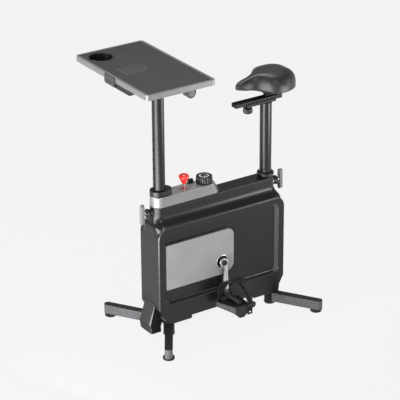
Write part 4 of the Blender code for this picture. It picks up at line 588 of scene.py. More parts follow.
def makeHousing(name, side, node):
    wall = shell["wall"]
    inside = combined(slabMesh([housingLoop(wall, 8)], -0.1, halfWidth - wall, "XZ"),
                      cut=[loftMesh(recessRings(wall, 6))])
    cuts = [loftMesh(recessRings(0, 10)), inside, loftMesh(neckRings(wall, neckTop - wall, 6, 6)),
            rodMesh(crankHole, 0.1, 0, crankCenter, "Y")]
    for pivotX in (frontPivotX, rearPivotX):
        loop = arcPoints((pivotX, pivotY), shell["pivotHole"], 0, 180, 16)
        loop += arcPoints((pivotX, -pivotY), shell["pivotHole"], 180, 360, 16)
        cuts.append(slabMesh([loop], 0.02, 0.0655))
    cuts += [rodMesh(shell["postHole"], 0.54, 0.50, post) for post in (frontPost, rearPost)]
    cuts.append(rodMesh(shell["lockHole"], 0.06, 0, (frontPostX, 0, frontLockZ), "X", 32))
    cuts.append(rodMesh(shell["lockHole"], 0, -0.06, (rearPostX, 0, rearLockZ), "X", 32))
    cuts += [slabMesh([loop], -0.1, 0.1, "XZ") for loop in undersideLoops()]
    cuts.append(boxMesh((housingRear - 0.1, -0.2, -0.1), (housingFront + 0.1, shell["seam"], 0.6)))
    shape = sided(combined(loftMesh(bodyRings()), cut=cuts), side)

    # Lips, cove and rear wall of the recess, and the rounded edges by the side face, are painted lighter as a
    # painted highlight
    def paintedHighlightFaces(face):
        deep = halfWidth - abs(face.center.y)
        slanted = 0.2 < abs(face.normal.y) < 0.95 and face.center.z > 0.08
        inner = deep < 0.0128 and face.center.x < housingFront - 0.05 and face.center.z < 0.45
        return slanted and (deep < 0.0044 or inner and (deep > 0.0107 or face.normal.x > 0.4))
    makePiece(name, shape, housingPlastic, "frame", [node], 28, [(edgeHighlightPaint, paintedHighlightFaces)])


for side, word in sides:
    makeHousing(f"housing_{word}", side, f"{word}_shell")
print("housing done")


# Silver side plates

plate = {"front": housingFront - 0.0332, "rear": housingFront - 0.3332, "low": 0.1915, "high": 0.3735,
         "back": halfWidth - 0.0127, "face": halfWidth - 0.0022, "skin": 0.0025, "corner": 0.030,
         "round": 0.004}


def plateLoop(inset):
    front, rear = plate["front"] - inset, plate["rear"] + inset
    low, high = plate["low"] + inset, plate["high"] - inset
    corner, small = plate["corner"] - inset, plate["round"]
    loop = arcPoints((front - small, high - small), small, 0, 90, 6)
    loop += arcPoints((rear + corner, high - corner), corner, 90, 180, 20)
    loop += filletPath(fromMm([(0, 60), (0, 26), (20, 7.5), (60, 0)], rear, low), [0, 0.016, 0.022, 0], 8)
    return loop + arcPoints((front - small, low + small), small, 270, 360, 6)


# A silver plate, the bright rolled edge of its crank hole and the dark boot behind that
def makeSidePlate(word, side):
    face = plate["face"]
    shape = soften(slabMesh([plateLoop(0)], plate["back"], face, "XZ"), 0.0022, 4, 40, onPlane(1, face))
    pocket = slabMesh([plateLoop(plate["skin"])], plate["back"] - 0.01, face - plate["skin"], "XZ")
    shape = combined(shape, cut=[pocket, rodMesh(crankHole, 0.1, 0, crankCenter, "Y", 64)])
    makePiece(f"{word}_plate_face", sided(shape, side), silverPaint, "frame",
              [f"{word}_side_plate"], 25)
    profile = fromMm([(23.6, -4), (23.6, 0.2), (24.3, 0.7), (25.6, 0.7), (26.4, 0.1), (26.4, -0.6),
                      (23.8, -4)], 0, face)
    ring = turnedMesh(profile, crankCenter, "Y", 96, closed=True)
    makePiece(f"{word}_crank_hole_ring", sided(ring, side), polished, "frame", angle=40)
    profile = fromMm([(11.2, 46), (11.2, 52), (16.5, 53.5), (18, 50.5), (23.2, 50), (23.2, 46)])
    boot = turnedMesh(profile, crankCenter, "Y", 64, closed=True)
    makePiece(f"{word}_crank_hole_boot", sided(boot, side), blackRubber, "frame")


for side, word in sides:
    makeSidePlate(word, side)
print("side plates done")


# Toe blocks

toe = {"top": 0.132, "seam": 0.050, "bottom": 0.013, "reach": 0.0293, "foot": 0.0228, "topHalf": 0.034,
       "lowHalf": 0.0405, "inner": 0.020, "ridge": 0.0085, "round": 0.0045, "rearReach": 0.0016,
       "rearFoot": -0.006, "groove": 0.0007, "grooveDepth": 0.0018}
toeCorner = cornerCutLine(-gap)[0]


def toeRing(z, inset, reach, foot):
    face = housingFront + gap
    share = (z - toe["bottom"]) / (toe["top"] - toe["bottom"])
    half = toe["lowHalf"] + (toe["topHalf"] - toe["lowHalf"]) * share - inset
    if z > toe["seam"]:
        front = face + 0.001 + (reach - 0.0013) * (toe["top"] - z) / (toe["top"] - toe["seam"]) - inset
    else:
        rise = (z - toe["bottom"]) / (toe["seam"] - toe["bottom"])
        front = housingFront + foot - inset + (reach - foot) * rise
    back = face
    if z < toeCorner[1]:
        back = max(housingFront - toe["inner"], toeCorner[0] - (toeCorner[1] - z) / cutSlope)
    radius = min(toe["ridge"], 0.45 * (front - (face if reach > 0.01 else back)))
    loop = [(back, -half)] + arcPoints((front - radius, -half + radius), radius, -90, 0, 8)
    loop += arcPoints((front - radius, half - radius), radius, 0, 90, 8) + [(back, half)]
    return [(x, y, z) for x, y in loop]


def makeToeBlock(name, end, node):
    bend = toeCorner[1] - cutSlope * (toeCorner[0] - housingFront + toe["inner"])
    seam, groove, depth = toe["seam"], toe["groove"], toe["grooveDepth"]
    levels = [(toe["top"], 0), (toeCorner[1], 0), (bend, 0), (seam + groove, 0),
              (seam + groove - 0.0001, depth), (seam - groove + 0.0001, depth), (seam - groove, 0)]
    levels += [(toe["bottom"] + toe["round"] * down, toe["round"] * back) for down, back in roundSteps(6, 0)]
    levels.sort()
    # The rear block stays flush with the housing's end, as in the photograph
    reach, foot = (toe["reach"], toe["foot"]) if end > 0 else (toe["rearReach"], toe["rearFoot"])
    block = loftMesh([toeRing(z, inset, reach, foot) for z, inset in levels])
    if end < 0:
        block.transform(Matrix.Translation((2 * housingMiddle, 0, 0)) @ Matrix.Diagonal((-1, 1, 1, 1)))
        bmesh.ops.reverse_faces(block, faces=block.faces)
    makePiece(name, block, toeLighterPaint, "frame", [node], 28, [
        # The ridge faces are painted lighter as a painted highlight
        (darkGreyAndHighlight, lambda face: abs(face.normal.y) > 0.30 and abs(face.normal.x) > 0.30),
        # The side faces are painted black as painted shade
        (matteBlackAndShade, lambda face: abs(face.normal.y) > 0.9),
        (blackRubber, lambda face: face.center.z < seam and abs(face.normal.y) < 0.3)])


makeToeBlock("front_toe_cover", 1, "front_toe_block")
makeToeBlock("rear_toe_cover", -1, "rear_toe_block")
print("toe blocks done")


# Console and collars

console = {"low": 0.5163, "height": 0.0402, "rearBehind": 0.2215, "rake": 0.0185, "half": 0.034,
           "round": 0.0026, "wall": 0.0025, "rodHole": 0.0045, "collarFront": 0.006, "collarRear": 0.019,
           "collar": 0.030}
consoleTop = console["low"] + console["height"]
collarHole = 0.0229


def consoleRing(z, inset, steps=36):
    share = (z - console["low"]) / console["height"]
    rear = frontPostX - console["rearBehind"] + console["rake"] * share
    loop = stadiumLoop(shell["neckFront"] - console["half"], rear, console["half"] - inset, steps)
    return [(x, y, z) for x, y in loop]


def switchOutline(extraX, extraY):
    return (switchX - extraX, switchY - extraY), (switchX + extraX, switchY + extraY)


def makeConsole():
    low, top, lip, wall = console["low"], consoleTop, console["round"], console["wall"]
    levels = [(low, 0.0010), (low + 0.0010, 0.0), (top - lip, 0.0)]
    levels += [(top - lip * down, lip * back) for down, back in roundSteps()]
    cuts = [loftMesh([consoleRing(z, wall, 12) for z in (low - 0.01, top - wall)]),
            rodMesh(0.0236, 0.6, 0.5, frontPost)]
    cuts += [rodMesh(console["rodHole"], 0.58, 0.545, (holeX, 0, 0), steps=32) for holeX in (brakeX, dialX)]
    near, far = switchOutline(*switchHole)
    cuts.append(boxMesh((*near, top - 0.01), (*far, top + 0.01)))
    shape = combined(loftMesh([consoleRing(z, inset) for z, inset in levels]), cut=cuts)
    makePiece("console_body", shape, consolePaint, "frame", ["console_cover"], 30,
              [(silverGloss, lambda face: face.normal.z > 0.35 and face.center.z > top - 0.003)])


def makeCollars():
    low = consoleTop + gap
    high = low + 0.021
    loop = stadiumLoop(frontPostX + console["collarFront"], frontPostX - console["collarRear"],
                       console["collar"], 32)
    shape = slabMesh([loop, circleLoop((frontPostX, 0), collarHole, 64)], low, high)
    soften(shape, 0.0022, 4, 40, onPlane(2, high))
    groove = slabMesh([[(x + (x - frontPostX) * 0.2, y * 1.2) for x, y in loop],
                       [(x - 0.0012 * math.copysign(1, x - frontPostX + 0.0065), y * 0.96) for x, y in loop]],
                      low + 0.0052, low + 0.0064)
    makePiece("front_collar_cover", combined(shape, cut=[groove]), trimPlastic, "frame",
              ["front_collar"], 30)
    low = neckTop + gap
    high, outer = low + 0.018, 0.0325
    profile = [(collarHole, high), (outer - 0.006, high)]
    profile += [(outer - 0.005 * down, high - 0.005 * back) for down, back in roundSteps()]
    profile += fromMm([(0, -9.5), (-1.8, -10.5)], outer, high) + fromMm([(-2, 0.4), (-2.4, 0)], outer, low)
    shape = turnedMesh(profile + [(collarHole, low)], rearPost, steps=96, closed=True)
    makePiece("rear_collar_cover", shape, trimPlastic, "frame", ["rear_collar"], 30)


makeConsole()
makeCollars()
print("console done")


# Controls

brake = {"low": 0.573, "top": 0.6125, "rod": 0.004, "rodTop": 0.5927, "padLow": 0.3785}
dial = {"wide": 0.0315, "base": 0.0045, "high": 0.0278, "round": 0.0035, "flutes": 16, "fluteDepth": 0.0022}
lock = {"start": 0.0063, "hub": 0.014, "gap": 0.0125, "barHalf": 0.00825, "barReach": 0.040, "barThick": 0.0125}


def makeBrake():
    place, padLow = (brakeX, 0, 0), brake["padLow"]
    profile = fromMm([(0, 0), (8, -0.5), (13.2, -1.7), (17.2, -4.2), (19.4, -7.5), (20, -10.5), (19.6, -13.5),
                      (18, -17.5), (14.8, -23.5), (11.6, -29)], 0, brake["top"])
    profile += fromMm([(8.6, 4.5), (7.2, 1.8), (6.2, 0), (4.3, 0), (4.3, 20), (0, 20)], 0, brake["low"])
    grip = turnedMesh(profile, place, steps=96)
    smoothed(makePiece("brake_grip", grip, redPlasticAndReflection, "brake", ["brake_knob"], 50))
    stem = rodMesh(brake["rod"], padLow + 0.010, brake["rodTop"], place, steps=32)
    makePiece("brake_rod", stem, polished, "brake", ["brake_stem"])
    pad = soften(boxMesh((brakeX - 0.020, -0.026, padLow), (brakeX + 0.020, 0.006, padLow + 0.012)), 0.0015, 2)
    makePiece("brake_pad", pad, blackRubber, "brake")
    # Ring round the grip's foot on the console top: its red is a painted reflection of the grip in the polished
    # top
    profile = fromMm([(4.6, 0.1), (4.6, 3.2), (7.8, 3.2), (9.2, 1.6), (9.6, 0.1)], 0, consoleTop)
    reflectionRing = turnedMesh(profile, place, steps=48, closed=True)
    makePiece("brake_bushing_painted_reflection", reflectionRing, redPlasticAndReflection, "frame")


def makeDial():
    low, wide, lip = consoleTop + gap, dial["wide"], dial["round"]
    base, high = low + dial["base"], low + dial["high"]

    def fluted(radius, height, angle):
        if radius < wide - 0.0030 or height < base + 0.0008:
            return radius
        fade = min(1.0, (high - height) / 0.003 + 0.35)
        return radius - dial["fluteDepth"] * fade * (0.5 - 0.5 * math.cos(dial["flutes"] * angle)) ** 3

    profile = [(0, low + 0.001), (wide - 0.0045, low)] + fromMm([(-4.5, 0), (-1.2, 0.2), (0, 1)], wide, base)
    profile += [(wide - 0.0002 * i, base + 0.001 + (high - lip - base - 0.001) * i / 4) for i in range(1, 5)]
    profile += [(wide - 0.0008 - 0.0026 * back, high - lip * down) for down, back in roundSteps(5)]
    profile += fromMm([(26.5, -0.1), (25.5, -0.9), (18, -1.2), (10, -1.3), (0, -1.3)], 0, high)
    shape = turnedMesh(profile, (dialX, 0, 0), steps=288, radiusAt=fluted)
    makePiece("dial_cap", shape, trimPlastic, "resistance_knob_body", ["resistance_knob"], 40)
    shaft = rodMesh(0.004, 0.405, low + 0.0009, (dialX, 0, 0), steps=32)
    makePiece("dial_shaft", shaft, innerSteel, "resistance_knob_body")
    # Curved arrow bands and scale dashes on the dial's top, with no lettering: radii, angles and steps
    bands = [(0.0140, 0.0185, 215, -65, 56)]
    bands += [(0.0150, 0.0185, angle - 2.5, angle + 2.5, 3) for angle in (-80, -93, -106, -119, -132)]
    bands += [(0.0050, 0.0085, 150, 20, 20)]
    marks = bmesh.new()
    for inner, outer, start, end, steps in bands:
        inside, outside = [], []
        for i in range(steps + 1):
            t = i / steps
            angle = math.radians(start + (end - start) * t)
            width = (outer - inner) * (0.45 + 0.55 * t) / 2
            middle = (outer + inner) / 2
            for row, r in ((inside, middle - width), (outside, middle + width)):
                row.append(marks.verts.new((dialX + r * math.cos(angle), r * math.sin(angle), high - 0.0006)))
        for i in range(steps):
            marks.faces.new((inside[i], outside[i], outside[i + 1], inside[i + 1]))
    bmesh.ops.recalc_face_normals(marks, faces=marks.faces)
    for face in marks.faces:
        if face.normal.z < 0:
            face.normal_flip()
    bmesh.ops.solidify(marks, geom=marks.faces, thickness=0.00025)
    makePiece("dial_marks", marks, paleInk, "resistance_knob_body")


def makeSwitch():
    low, high = consoleTop - 0.0045, consoleTop + 0.016
    near, far = switchOutline(0.010, 0.0055)
    block = soften(boxMesh((*near, low), (*far, high)), 0.0022, 4, 40, onPlane(2, high))
    soften(block, 0.0010, 2, 60)
    makePiece("switch_button", block, trimPlastic, "console_switch_body", ["console_switch"])
    outer = roundedLoop((switchX - 0.0135, switchY - 0.0085), (switchX + 0.0135, switchY + 0.0070), 0.003)
    bezel = slabMesh([outer, roundedLoop(*switchOutline(*switchHole), 0.0008)], consoleTop + 0.0001,
                     consoleTop + 0.0016)
    makePiece("switch_bezel", soften(bezel, 0.0006, 2, 50), trimPlastic, "frame")


# A T-shaped knob: fluted hub, screw and grey bar
def makeLockKnob(name, postX, neckEnd, direction, lockZ, body, node):
    start = abs(neckEnd - postX) + lock["start"]
    end = start + lock["hub"]
    barStart, barHalf, reach = end + lock["gap"], lock["barHalf"], lock["barReach"]

    def gripped(radius, height, angle):
        if radius < 0.0165 or height < start + 0.0075:
            return radius
        return radius - 0.0008 * (0.5 + 0.5 * math.cos(12 * angle)) ** 2

    hub = fromMm([(5.1, 0), (15, 0), (15, 5.8), (15.8, 6.6), (17.5, 7.8), (18, 8.6)], 0, start)
    hub += fromMm([(18, -3), (17.6, -1.4), (16.4, -0.3), (15, 0), (9.5, -0.4), (8, 2), (6.3, 2.8), (6.3, -2),
                   (5.1, -2)], 0, end)
    stem = fromMm([(0, 3), (5.8, 3), (5.8, -2), (4.8, -3)], 0, barStart)
    stem += fromMm([(4.8, 4), (5.6, 3), (5.6, -1.5), (5, -2)], 0, end) + fromMm([(5, 22.8), (0, 22.8)])
    bar = slabMesh([roundedLoop((-barHalf, -reach), (barHalf, reach), 0.0081, 12)], barStart,
                   barStart + lock["barThick"], "YZ")
    turn = Matrix.Identity(4) if direction > 0 else Matrix.Rotation(math.pi, 4, "Z")
    for word, shape, material, replaced in (
            ("hub", turnedMesh(hub, axis="X", steps=144, closed=True, radiusAt=gripped), trimPlastic, ()),
            ("screw", turnedMesh(stem, axis="X", steps=48), polished, ()),
            ("bar", soften(bar, 0.0036, 5, 60), greyPlastic, (node,))):
        shape.transform(Matrix.Translation((postX, 0, lockZ)) @ turn)
        makePiece(f"{name}_{word}", shape, material, body, replaced, 40)


makeBrake()
makeDial()
makeSwitch()
makeLockKnob("front_lock", frontPostX, shell["neckFront"], 1, frontLockZ, "front_lock", "front_lock_knob")
makeLockKnob("rear_lock", rearPostX, shell["neckRear"], -1, rearLockZ, "rear_lock", "rear_lock_knob")
print("controls done")


# Crank, pedals and straps

crank = {"eye": 0.017, "tip": 0.0095, "root": 0.0125, "inner": halfWidth + 0.0018, "outer": halfWidth + 0.0118,
         "channel": 0.0012}
pedal = {"inner": 0.088, "wide": 0.090, "treads": 7, "treadFirst": 0.010, "treadStep": 0.0115,
         "treadWide": 0.0042}
strap = {"middle": 0.133, "half": 0.0453, "rise": 0.0805, "thick": 0.0025, "buckleY": 0.1808}


def pedalCenter(side):
    return crankX + side * crankLength * math.cos(crankTilt), crankZ + side * crankLength * math.sin(crankTilt)


def makeCrank(word, side):
    tipX, tipZ = pedalCenter(side)
    lean = math.degrees(math.atan2(tipZ - crankZ, tipX - crankX))
    root = math.degrees(math.asin(crank["root"] / crank["eye"]))
    loop = arcPoints((crankX, crankZ), crank["eye"], lean + root, lean + 360 - root, 40)
    loop += arcPoints((tipX, tipZ), crank["tip"], lean - 80, lean + 80, 20)
    face = side * crank["outer"]
    arm = slabMesh([loop], *sorted((side * crank["inner"], face)), "XZ")
    soften(arm, 0.0016, 4, 40, onPlane(1, face))
    # Long shallow channel pressed along the arm's face
    along = Vector((tipX - crankX, tipZ - crankZ)).normalized()
    across = Vector((-along.y, along.x))
    channel = [tuple(Vector((crankX, crankZ)) + along * t + across * w)
               for t, w in ((0.030, 0.0060), (0.112, 0.0045), (0.112, -0.0045), (0.030, -0.0060))]
    pressed = slabMesh([filletPath(channel, [0.0042] * 4, 6)],
                       *sorted((face + side * 0.002, face - side * crank["channel"])), "XZ")
    shape = combined(arm, cut=[rodMesh(0.0103, 0.1, -0.1, crankCenter, "Y"),
                               rodMesh(0.0063, 0.1, -0.1, (tipX, 0, tipZ), "Y", 32), pressed])
    makePiece(f"{word}_crank_arm", shape, polished, "crank", [f"{word}_crank"], 30)


def makeCrankAxle():
    half = fromMm([(0, 3), (5.2, 3), (5.6, 4), (9.8, 4.5), (11, 3.6), (11.5, 2), (11.5, 0), (10, 0)], 0,
                  crank["outer"] + gap)
    shape = turnedMesh(half + [(radius, -height) for radius, height in half[::-1]], crankCenter, "Y", 64)
    makePiece("crank_bolts", shape, darkSteel, "crank", ["crank_axle"], 35)


# Pedal section at a distance out from its inner face
def pedalSection(x, z, out):
    share = out / pedal["wide"]
    tread = z - 0.014 + 0.004 * share
    front = x + 0.058 - 0.030 * share
    rear = x - 0.045 + 0.010 * share
    barLow = z - 0.035 - 0.003 * share
    keelLow = barLow - 0.002 - 0.020 * share ** 1.8
    outline = [(front, tread), (front, barLow), (x + 0.030 - 0.0204 * share, keelLow),
               (x - 0.030 + 0.0187 * share, keelLow), (rear, barLow), (rear, tread)]
    return [(a, pedal["inner"] + out, b) for a, b in outline]


def makePedal(word, side):
    x, z = pedalCenter(side)
    inner = pedal["inner"]
    shape = soften(loftMesh([pedalSection(x, z, pedal["wide"] * i / 12) for i in range(13)]), 0.0028, 4, 28)
    profile = fromMm([(0, 89.2), (10, 89.2), (10.5, 89.8), (10.5, 163), (9.5, 165), (0, 165)])
    joined = [turnedMesh(profile, (x, 0, z), "Y", 48)]
    for i in range(pedal["treads"]):
        out = pedal["treadFirst"] + i * pedal["treadStep"]
        half = 0.030 - 0.018 * out / pedal["wide"]
        joined.append(boxMesh((x - half - 0.008, inner + out, z - 0.0115),
                              (x + half + 0.014, inner + out + pedal["treadWide"], z - 0.0082)))
    bore = rodMesh(0.0063, 0.1603, 0.07, (x, 0, z), "Y", 32)
    groove = boxMesh((x - 0.014, inner + 0.060, z - 0.0490), (x + 0.012, inner + 0.1, z - 0.0474))
    above = z - 0.0155
    makePiece(f"{word}_pedal_block", sided(combined(shape, joined, [bore, groove]), side), trimPlastic,
              f"{word}_pedal_body", [f"{word}_pedal"], 28,
              [(darkGreyAndHighlight, lambda face: face.normal.x > 0.75 and face.center.z < above),
               (blackRubber, lambda face: face.center.z > above or face.normal.z > 0.7)])
    profile = fromMm([(0, 160), (6, 160), (6, 87), (9, 87), (9, 80), (8.4, 76.6), (6, 76.6), (6, 67.3),
                      (0, 67.3)])
    spindle = sided(turnedMesh(profile, (x, 0, z), "Y", 48), side)
    makePiece(f"{word}_spindle", spindle, darkSteel, "crank", [f"{word}_pedal_spindle"])


# The strap at a share of its way over: middle, half width, and its two faces as (y, z)
def strapRing(x, z, t, inner, outer):
    angle = math.pi * (1 - t)
    lift = math.sin(angle) ** 0.8 if 0 < t < 1 else 0.0
    center = x + 0.0405 - 0.0815 * t + 0.007 * t * t
    half = 0.0085 + 0.003 * t + 0.078 * t * (1 - t)
    rows = [(strap["middle"] + (strap["half"] + extra) * math.cos(angle), z + (strap["rise"] + extra) * lift)
            for extra in (inner, outer)]
    return center, half, rows


def makeStrap(word, side):
    x, z = pedalCenter(side)
    body = f"{word}_pedal_body"
    rings = []
    for i in range(57):
        center, half, ((y0, z0), (y1, z1)) = strapRing(x, z, i / 56, 0.0, strap["thick"])
        near, far = center - half, center + half
        rings.append([(near, y0, z0), (far, y0, z0), (far, y1, z1), (near, y1, z1)])
    first = [(px, py, z - 0.022) for px, py, _ in rings[0]]
    last = [(px, py, z - 0.053) for px, py, _ in rings[-1]]
    band = soften(loftMesh([first] + rings + [last]), 0.0009, 2, 50)
    slotCut = soften(boxMesh((x - 0.0395, 0.168, z - 0.0465), (x - 0.0305, 0.198, z - 0.0400)), 0.0012, 2)
    band = sided(combined(band, cut=[slotCut]), side)
    makePiece(f"{word}_strap_band", band, blackRubber, body, [f"{word}_toe_strap"], 35)
    ribs = bmesh.new()
    for i in range(24):
        center, half, ((y0, z0), (y1, z1)) = strapRing(x, z, 0.60 + 0.40 * i / 23, 0.0022, 0.0036)
        lean = Vector((0, y1 - y0, z1 - z0)).normalized()
        turn = lean.to_track_quat("Y", "X").to_matrix().to_4x4()
        place = Matrix.Translation((center, y1 - 0.0005 * lean.y, z1 - 0.0005 * lean.z)) @ turn
        bmesh.ops.create_cube(ribs, size=1.0, matrix=place @ Matrix.Diagonal((half * 1.5, 0.0011, 0.0012, 1)))
    for i in (0, 1, 2, 3, 4, 8):
        place = Matrix.Translation((x - 0.0340, 0.1810, z - 0.024 - 0.0032 * i))
        bmesh.ops.create_cube(ribs, size=1.0, matrix=place @ Matrix.Diagonal((0.017, 0.0012, 0.0011, 1)))
    makePiece(f"{word}_strap_ribs", sided(ribs, side), blackRubber, body)
    face = strap["buckleY"]
    profile = fromMm([(0, -1), (12.2, -1), (12.5, 0.5), (12.5, 4.5), (11.2, 5.8), (8.5, 6), (7.8, 5), (3, 4.8),
                      (0, 4.8)], 0, face)
    buckle = turnedMesh(profile, (x - 0.045, 0, z - 0.014), "Y", 64)
    clip = boxMesh((x - 0.0555, face - 0.0005, z - 0.019), (x - 0.020, face + 0.0038, z - 0.009))
    buckle = sided(combined(buckle, [soften(clip, 0.0012, 2)]), side)
    makePiece(f"{word}_strap_buckle", buckle, trimPlastic, body, angle=35)


makeCrankAxle()
for side, word in sides:
    makeCrank(word, side)
    makePedal(word, side)
    makeStrap(word, side)
print("crank and pedals done")


# Legs

leg = {"low": 0.0103, "top": 0.0465, "length": 0.191, "eye": 0.021, "half": 0.015, "pin": 0.0083}


def makeLeg(word, pivotX, end, side):
    low, top, length, half = leg["low"], leg["top"], leg["length"], leg["half"]
    root = math.degrees(math.asin(half / leg["eye"]))
    loop = arcPoints((0, 0), leg["eye"], root, 360 - root, 48)
    loop += arcPoints((length + 0.010, 0), half, -90, 90, 28)
    tube = slabMesh([loop, circleLoop((0, 0), leg["pin"], 32)], low, top)
    for height, width, steps, degrees in ((top, 0.0045, 5, 40), (low, 0.0015, 2, 60)):
        soften(tube, width, steps, degrees, bothEnds(
            lambda co: abs(co.z - height) <= tiny and co.to_2d().length > 0.015))
    seam = slabMesh([rectangle((length - 0.034, -0.02), (length - 0.0328, 0.02))], 0, 0.06)
    core = slabMesh([rectangle((0.1, -0.0142), (0.2, 0.0142))], -0.01, top - 0.0008)
    tube = combined(tube, cut=[combined(seam, cut=[core])])
    profile = fromMm([(0, 10), (18.5, 10), (20, 9.4), (21.5, 8), (22, 6.2), (22, 1.2), (21.2, 0), (0, 0)])
    foot = turnedMesh(profile, (length, 0, 0))
    place = Matrix.Translation((pivotX, side * pivotY, 0)) @ Matrix.Diagonal((end, side, 1, 1))
    place = place @ Matrix.Rotation(math.pi / 2 - legSplay, 4, "Z")
    for shape in (tube, foot):
        shape.transform(place)
        if end * side < 0:
            bmesh.ops.reverse_faces(shape, faces=shape.faces)

    def nearRoot(face):
        away = math.hypot(face.center.x - pivotX, face.center.y - side * pivotY)
        return away < 0.0235 and face.center.z < top - 0.001
    makePiece(f"{word}_leg_tube", tube, legPaint, f"{word}_leg_body", [f"{word}_leg"], 30,
              [(legTopPaint, lambda face: face.normal.z > 0.9), (matteBlackAndShade, nearRoot)])
    makePiece(f"{word}_foot_pad", foot, matteBlackAndShade, f"{word}_leg_body", [f"{word}_foot"])


for pivotX, end, endWord in ((frontPivotX, 1, "front"), (rearPivotX, -1, "rear")):
    for side, word in sides:
        makeLeg(f"{endWord}_{word}", pivotX, end, side)
print("legs done")


# Posts

def makePost(name, place, bottom, top, body, node, holes=()):
    wall, edge = 0.002, 0.0005
    inner = postRadius - wall
    profile = [(inner, bottom), (inner, top - edge), (inner + edge, top), (postRadius - edge, top),
               (postRadius, top - edge), (postRadius, bottom + 0.0006), (postRadius - 0.0006, bottom)]
    tube = turnedMesh(profile, place, steps=128, closed=True)
    cuts = [rodMesh(0.0045, 0.03, 0, (place[0], 0, z), "X", 32) for z in holes]
    makePiece(name, combined(tube, cut=cuts) if cuts else tube, postPaint, body, [node], 35)


makePost("desk_post_tube", frontPost, 0.345, 0.9960, "desk_post_body", "desk_post",
         [0.591 + 0.037 * i for i in range(6)])
makePost("saddle_post_tube", rearPost, 0.330, 0.8159, "saddle_post_body", "saddle_post")
print("posts done")


# Desk

desk = {"top": 1.064, "bottom": 1.044, "front": frontPostX + 0.1944, "rear": frontPostX - 0.0884,
        "half": 0.2434, "rim": 0.010, "panel": 1.0625, "tilt": (frontPostX + 0.0133, 0, 1.0345), "eye": 0.0186}
flap = {"hinge": frontPostX + 0.143, "thick": 0.0037, "middle": -0.0085, "half": 0.037, "length": 0.100,
        "tip": 0.036}
cup = {"x": frontPostX + 0.127, "y": -0.176, "radius": 0.043, "deep": 0.038}
underDesk = desk["bottom"] - gap


def deskLoop(inset, radius):
    half = desk["half"] - inset
    return roundedLoop((desk["rear"] + inset, -half), (desk["front"] - inset, half), radius, 12)


def flapLoop(extra, steps=40):
    half, y = flap["half"] + extra, flap["middle"]
    front = flap["hinge"] + flap["thick"] / 2 + extra
    rear = flap["hinge"] - flap["length"] - extra
    angles = [math.pi / 2 - math.pi * i / steps for i in range(steps + 1)]
    return [(front, y - half), (front, y + half)] + [
        (rear + flap["tip"] * (1 - math.cos(angle)), y + half * math.sin(angle)) for angle in angles]


def makeDeskTop():
    top, bottom, panelTop = desk["top"], desk["bottom"], desk["panel"]
    rim = slabMesh([deskLoop(0, 0.014), deskLoop(desk["rim"], 0.006)], bottom, top)
    soften(rim, 0.0055, 6, 60, bothEnds(lambda co: abs(co.z - top) <= tiny and (
        abs(co.y) > desk["half"] - 0.006 or co.x > desk["front"] - 0.006 or co.x < desk["rear"] + 0.006)))
    soften(rim, 0.0012, 2, 60, onPlane(2, bottom))
    makePiece("desk_edge", rim, rimMetal, "desk", ["desk_rim"], 35)
    mouth = circleLoop((cup["x"], cup["y"]), cup["radius"], 96)
    panel = slabMesh([deskLoop(desk["rim"] + gap, 0.0057), mouth], bottom + 0.0015, panelTop)
    pocket = slabMesh([flapLoop(0.0007)], panelTop - flap["thick"] - gap, panelTop + 0.01)
    panel = soften(combined(panel, cut=[pocket]), 0.0004, 2, 60, onPlane(2, panelTop))
    makePiece("desk_panel", panel, deskLaminate, "desk", ["desk_top"], 35)


def makeTablet():
    thick, panelTop = flap["thick"], desk["panel"]
    front = flap["hinge"] + thick / 2
    tablet = slabMesh([flapLoop(0)], panelTop - thick, panelTop)
    soften(tablet, thick / 2 - 0.0001, 6, 60, lambda edge: onPlane(0, front)(edge)
           and abs(edge.verts[0].co.z - edge.verts[1].co.z) < tiny)
    soften(tablet, 0.0004, 2, 60, bothEnds(lambda co: co.x < flap["hinge"] - 0.004))
    ledge = slabMesh([flapLoop(-0.007)], panelTop - 0.0008, panelTop + 0.001)
    line = slabMesh([flapLoop(-0.0022), flapLoop(-0.0035)], panelTop - 0.0004, panelTop + 0.0001)
    makePiece("tablet_plate_line", line, greyPlastic, "tablet_flap_body", angle=35)
    makePiece("tablet_plate", combined(tablet, cut=[ledge]), flapPlastic, "tablet_flap_body",
              ["tablet_flap"], 35)


def makeCup():
    outer, lip = cup["radius"] - gap, desk["panel"] + gap
    floor = desk["panel"] - cup["deep"]
    profile = [(0, floor + 0.0018)] + fromMm([(-7.8, 1.8), (-5, 3), (-3.8, 6)], outer, floor)
    profile += fromMm([(-2, -2), (-1.4, 0.6), (-0.6, 1.1), (2.8, 1.2), (3.8, 0.6), (4, 0), (0, 0)], outer, lip)
    profile += fromMm([(-1.8, 8), (-4.5, 1.5), (-8, 0)], outer, floor) + [(0, floor)]
    shape = turnedMesh(profile, (cup["x"], cup["y"], 0), steps=128)
    makePiece("cup_holder", shape, trimPlastic, "desk", ["cup_insert"])


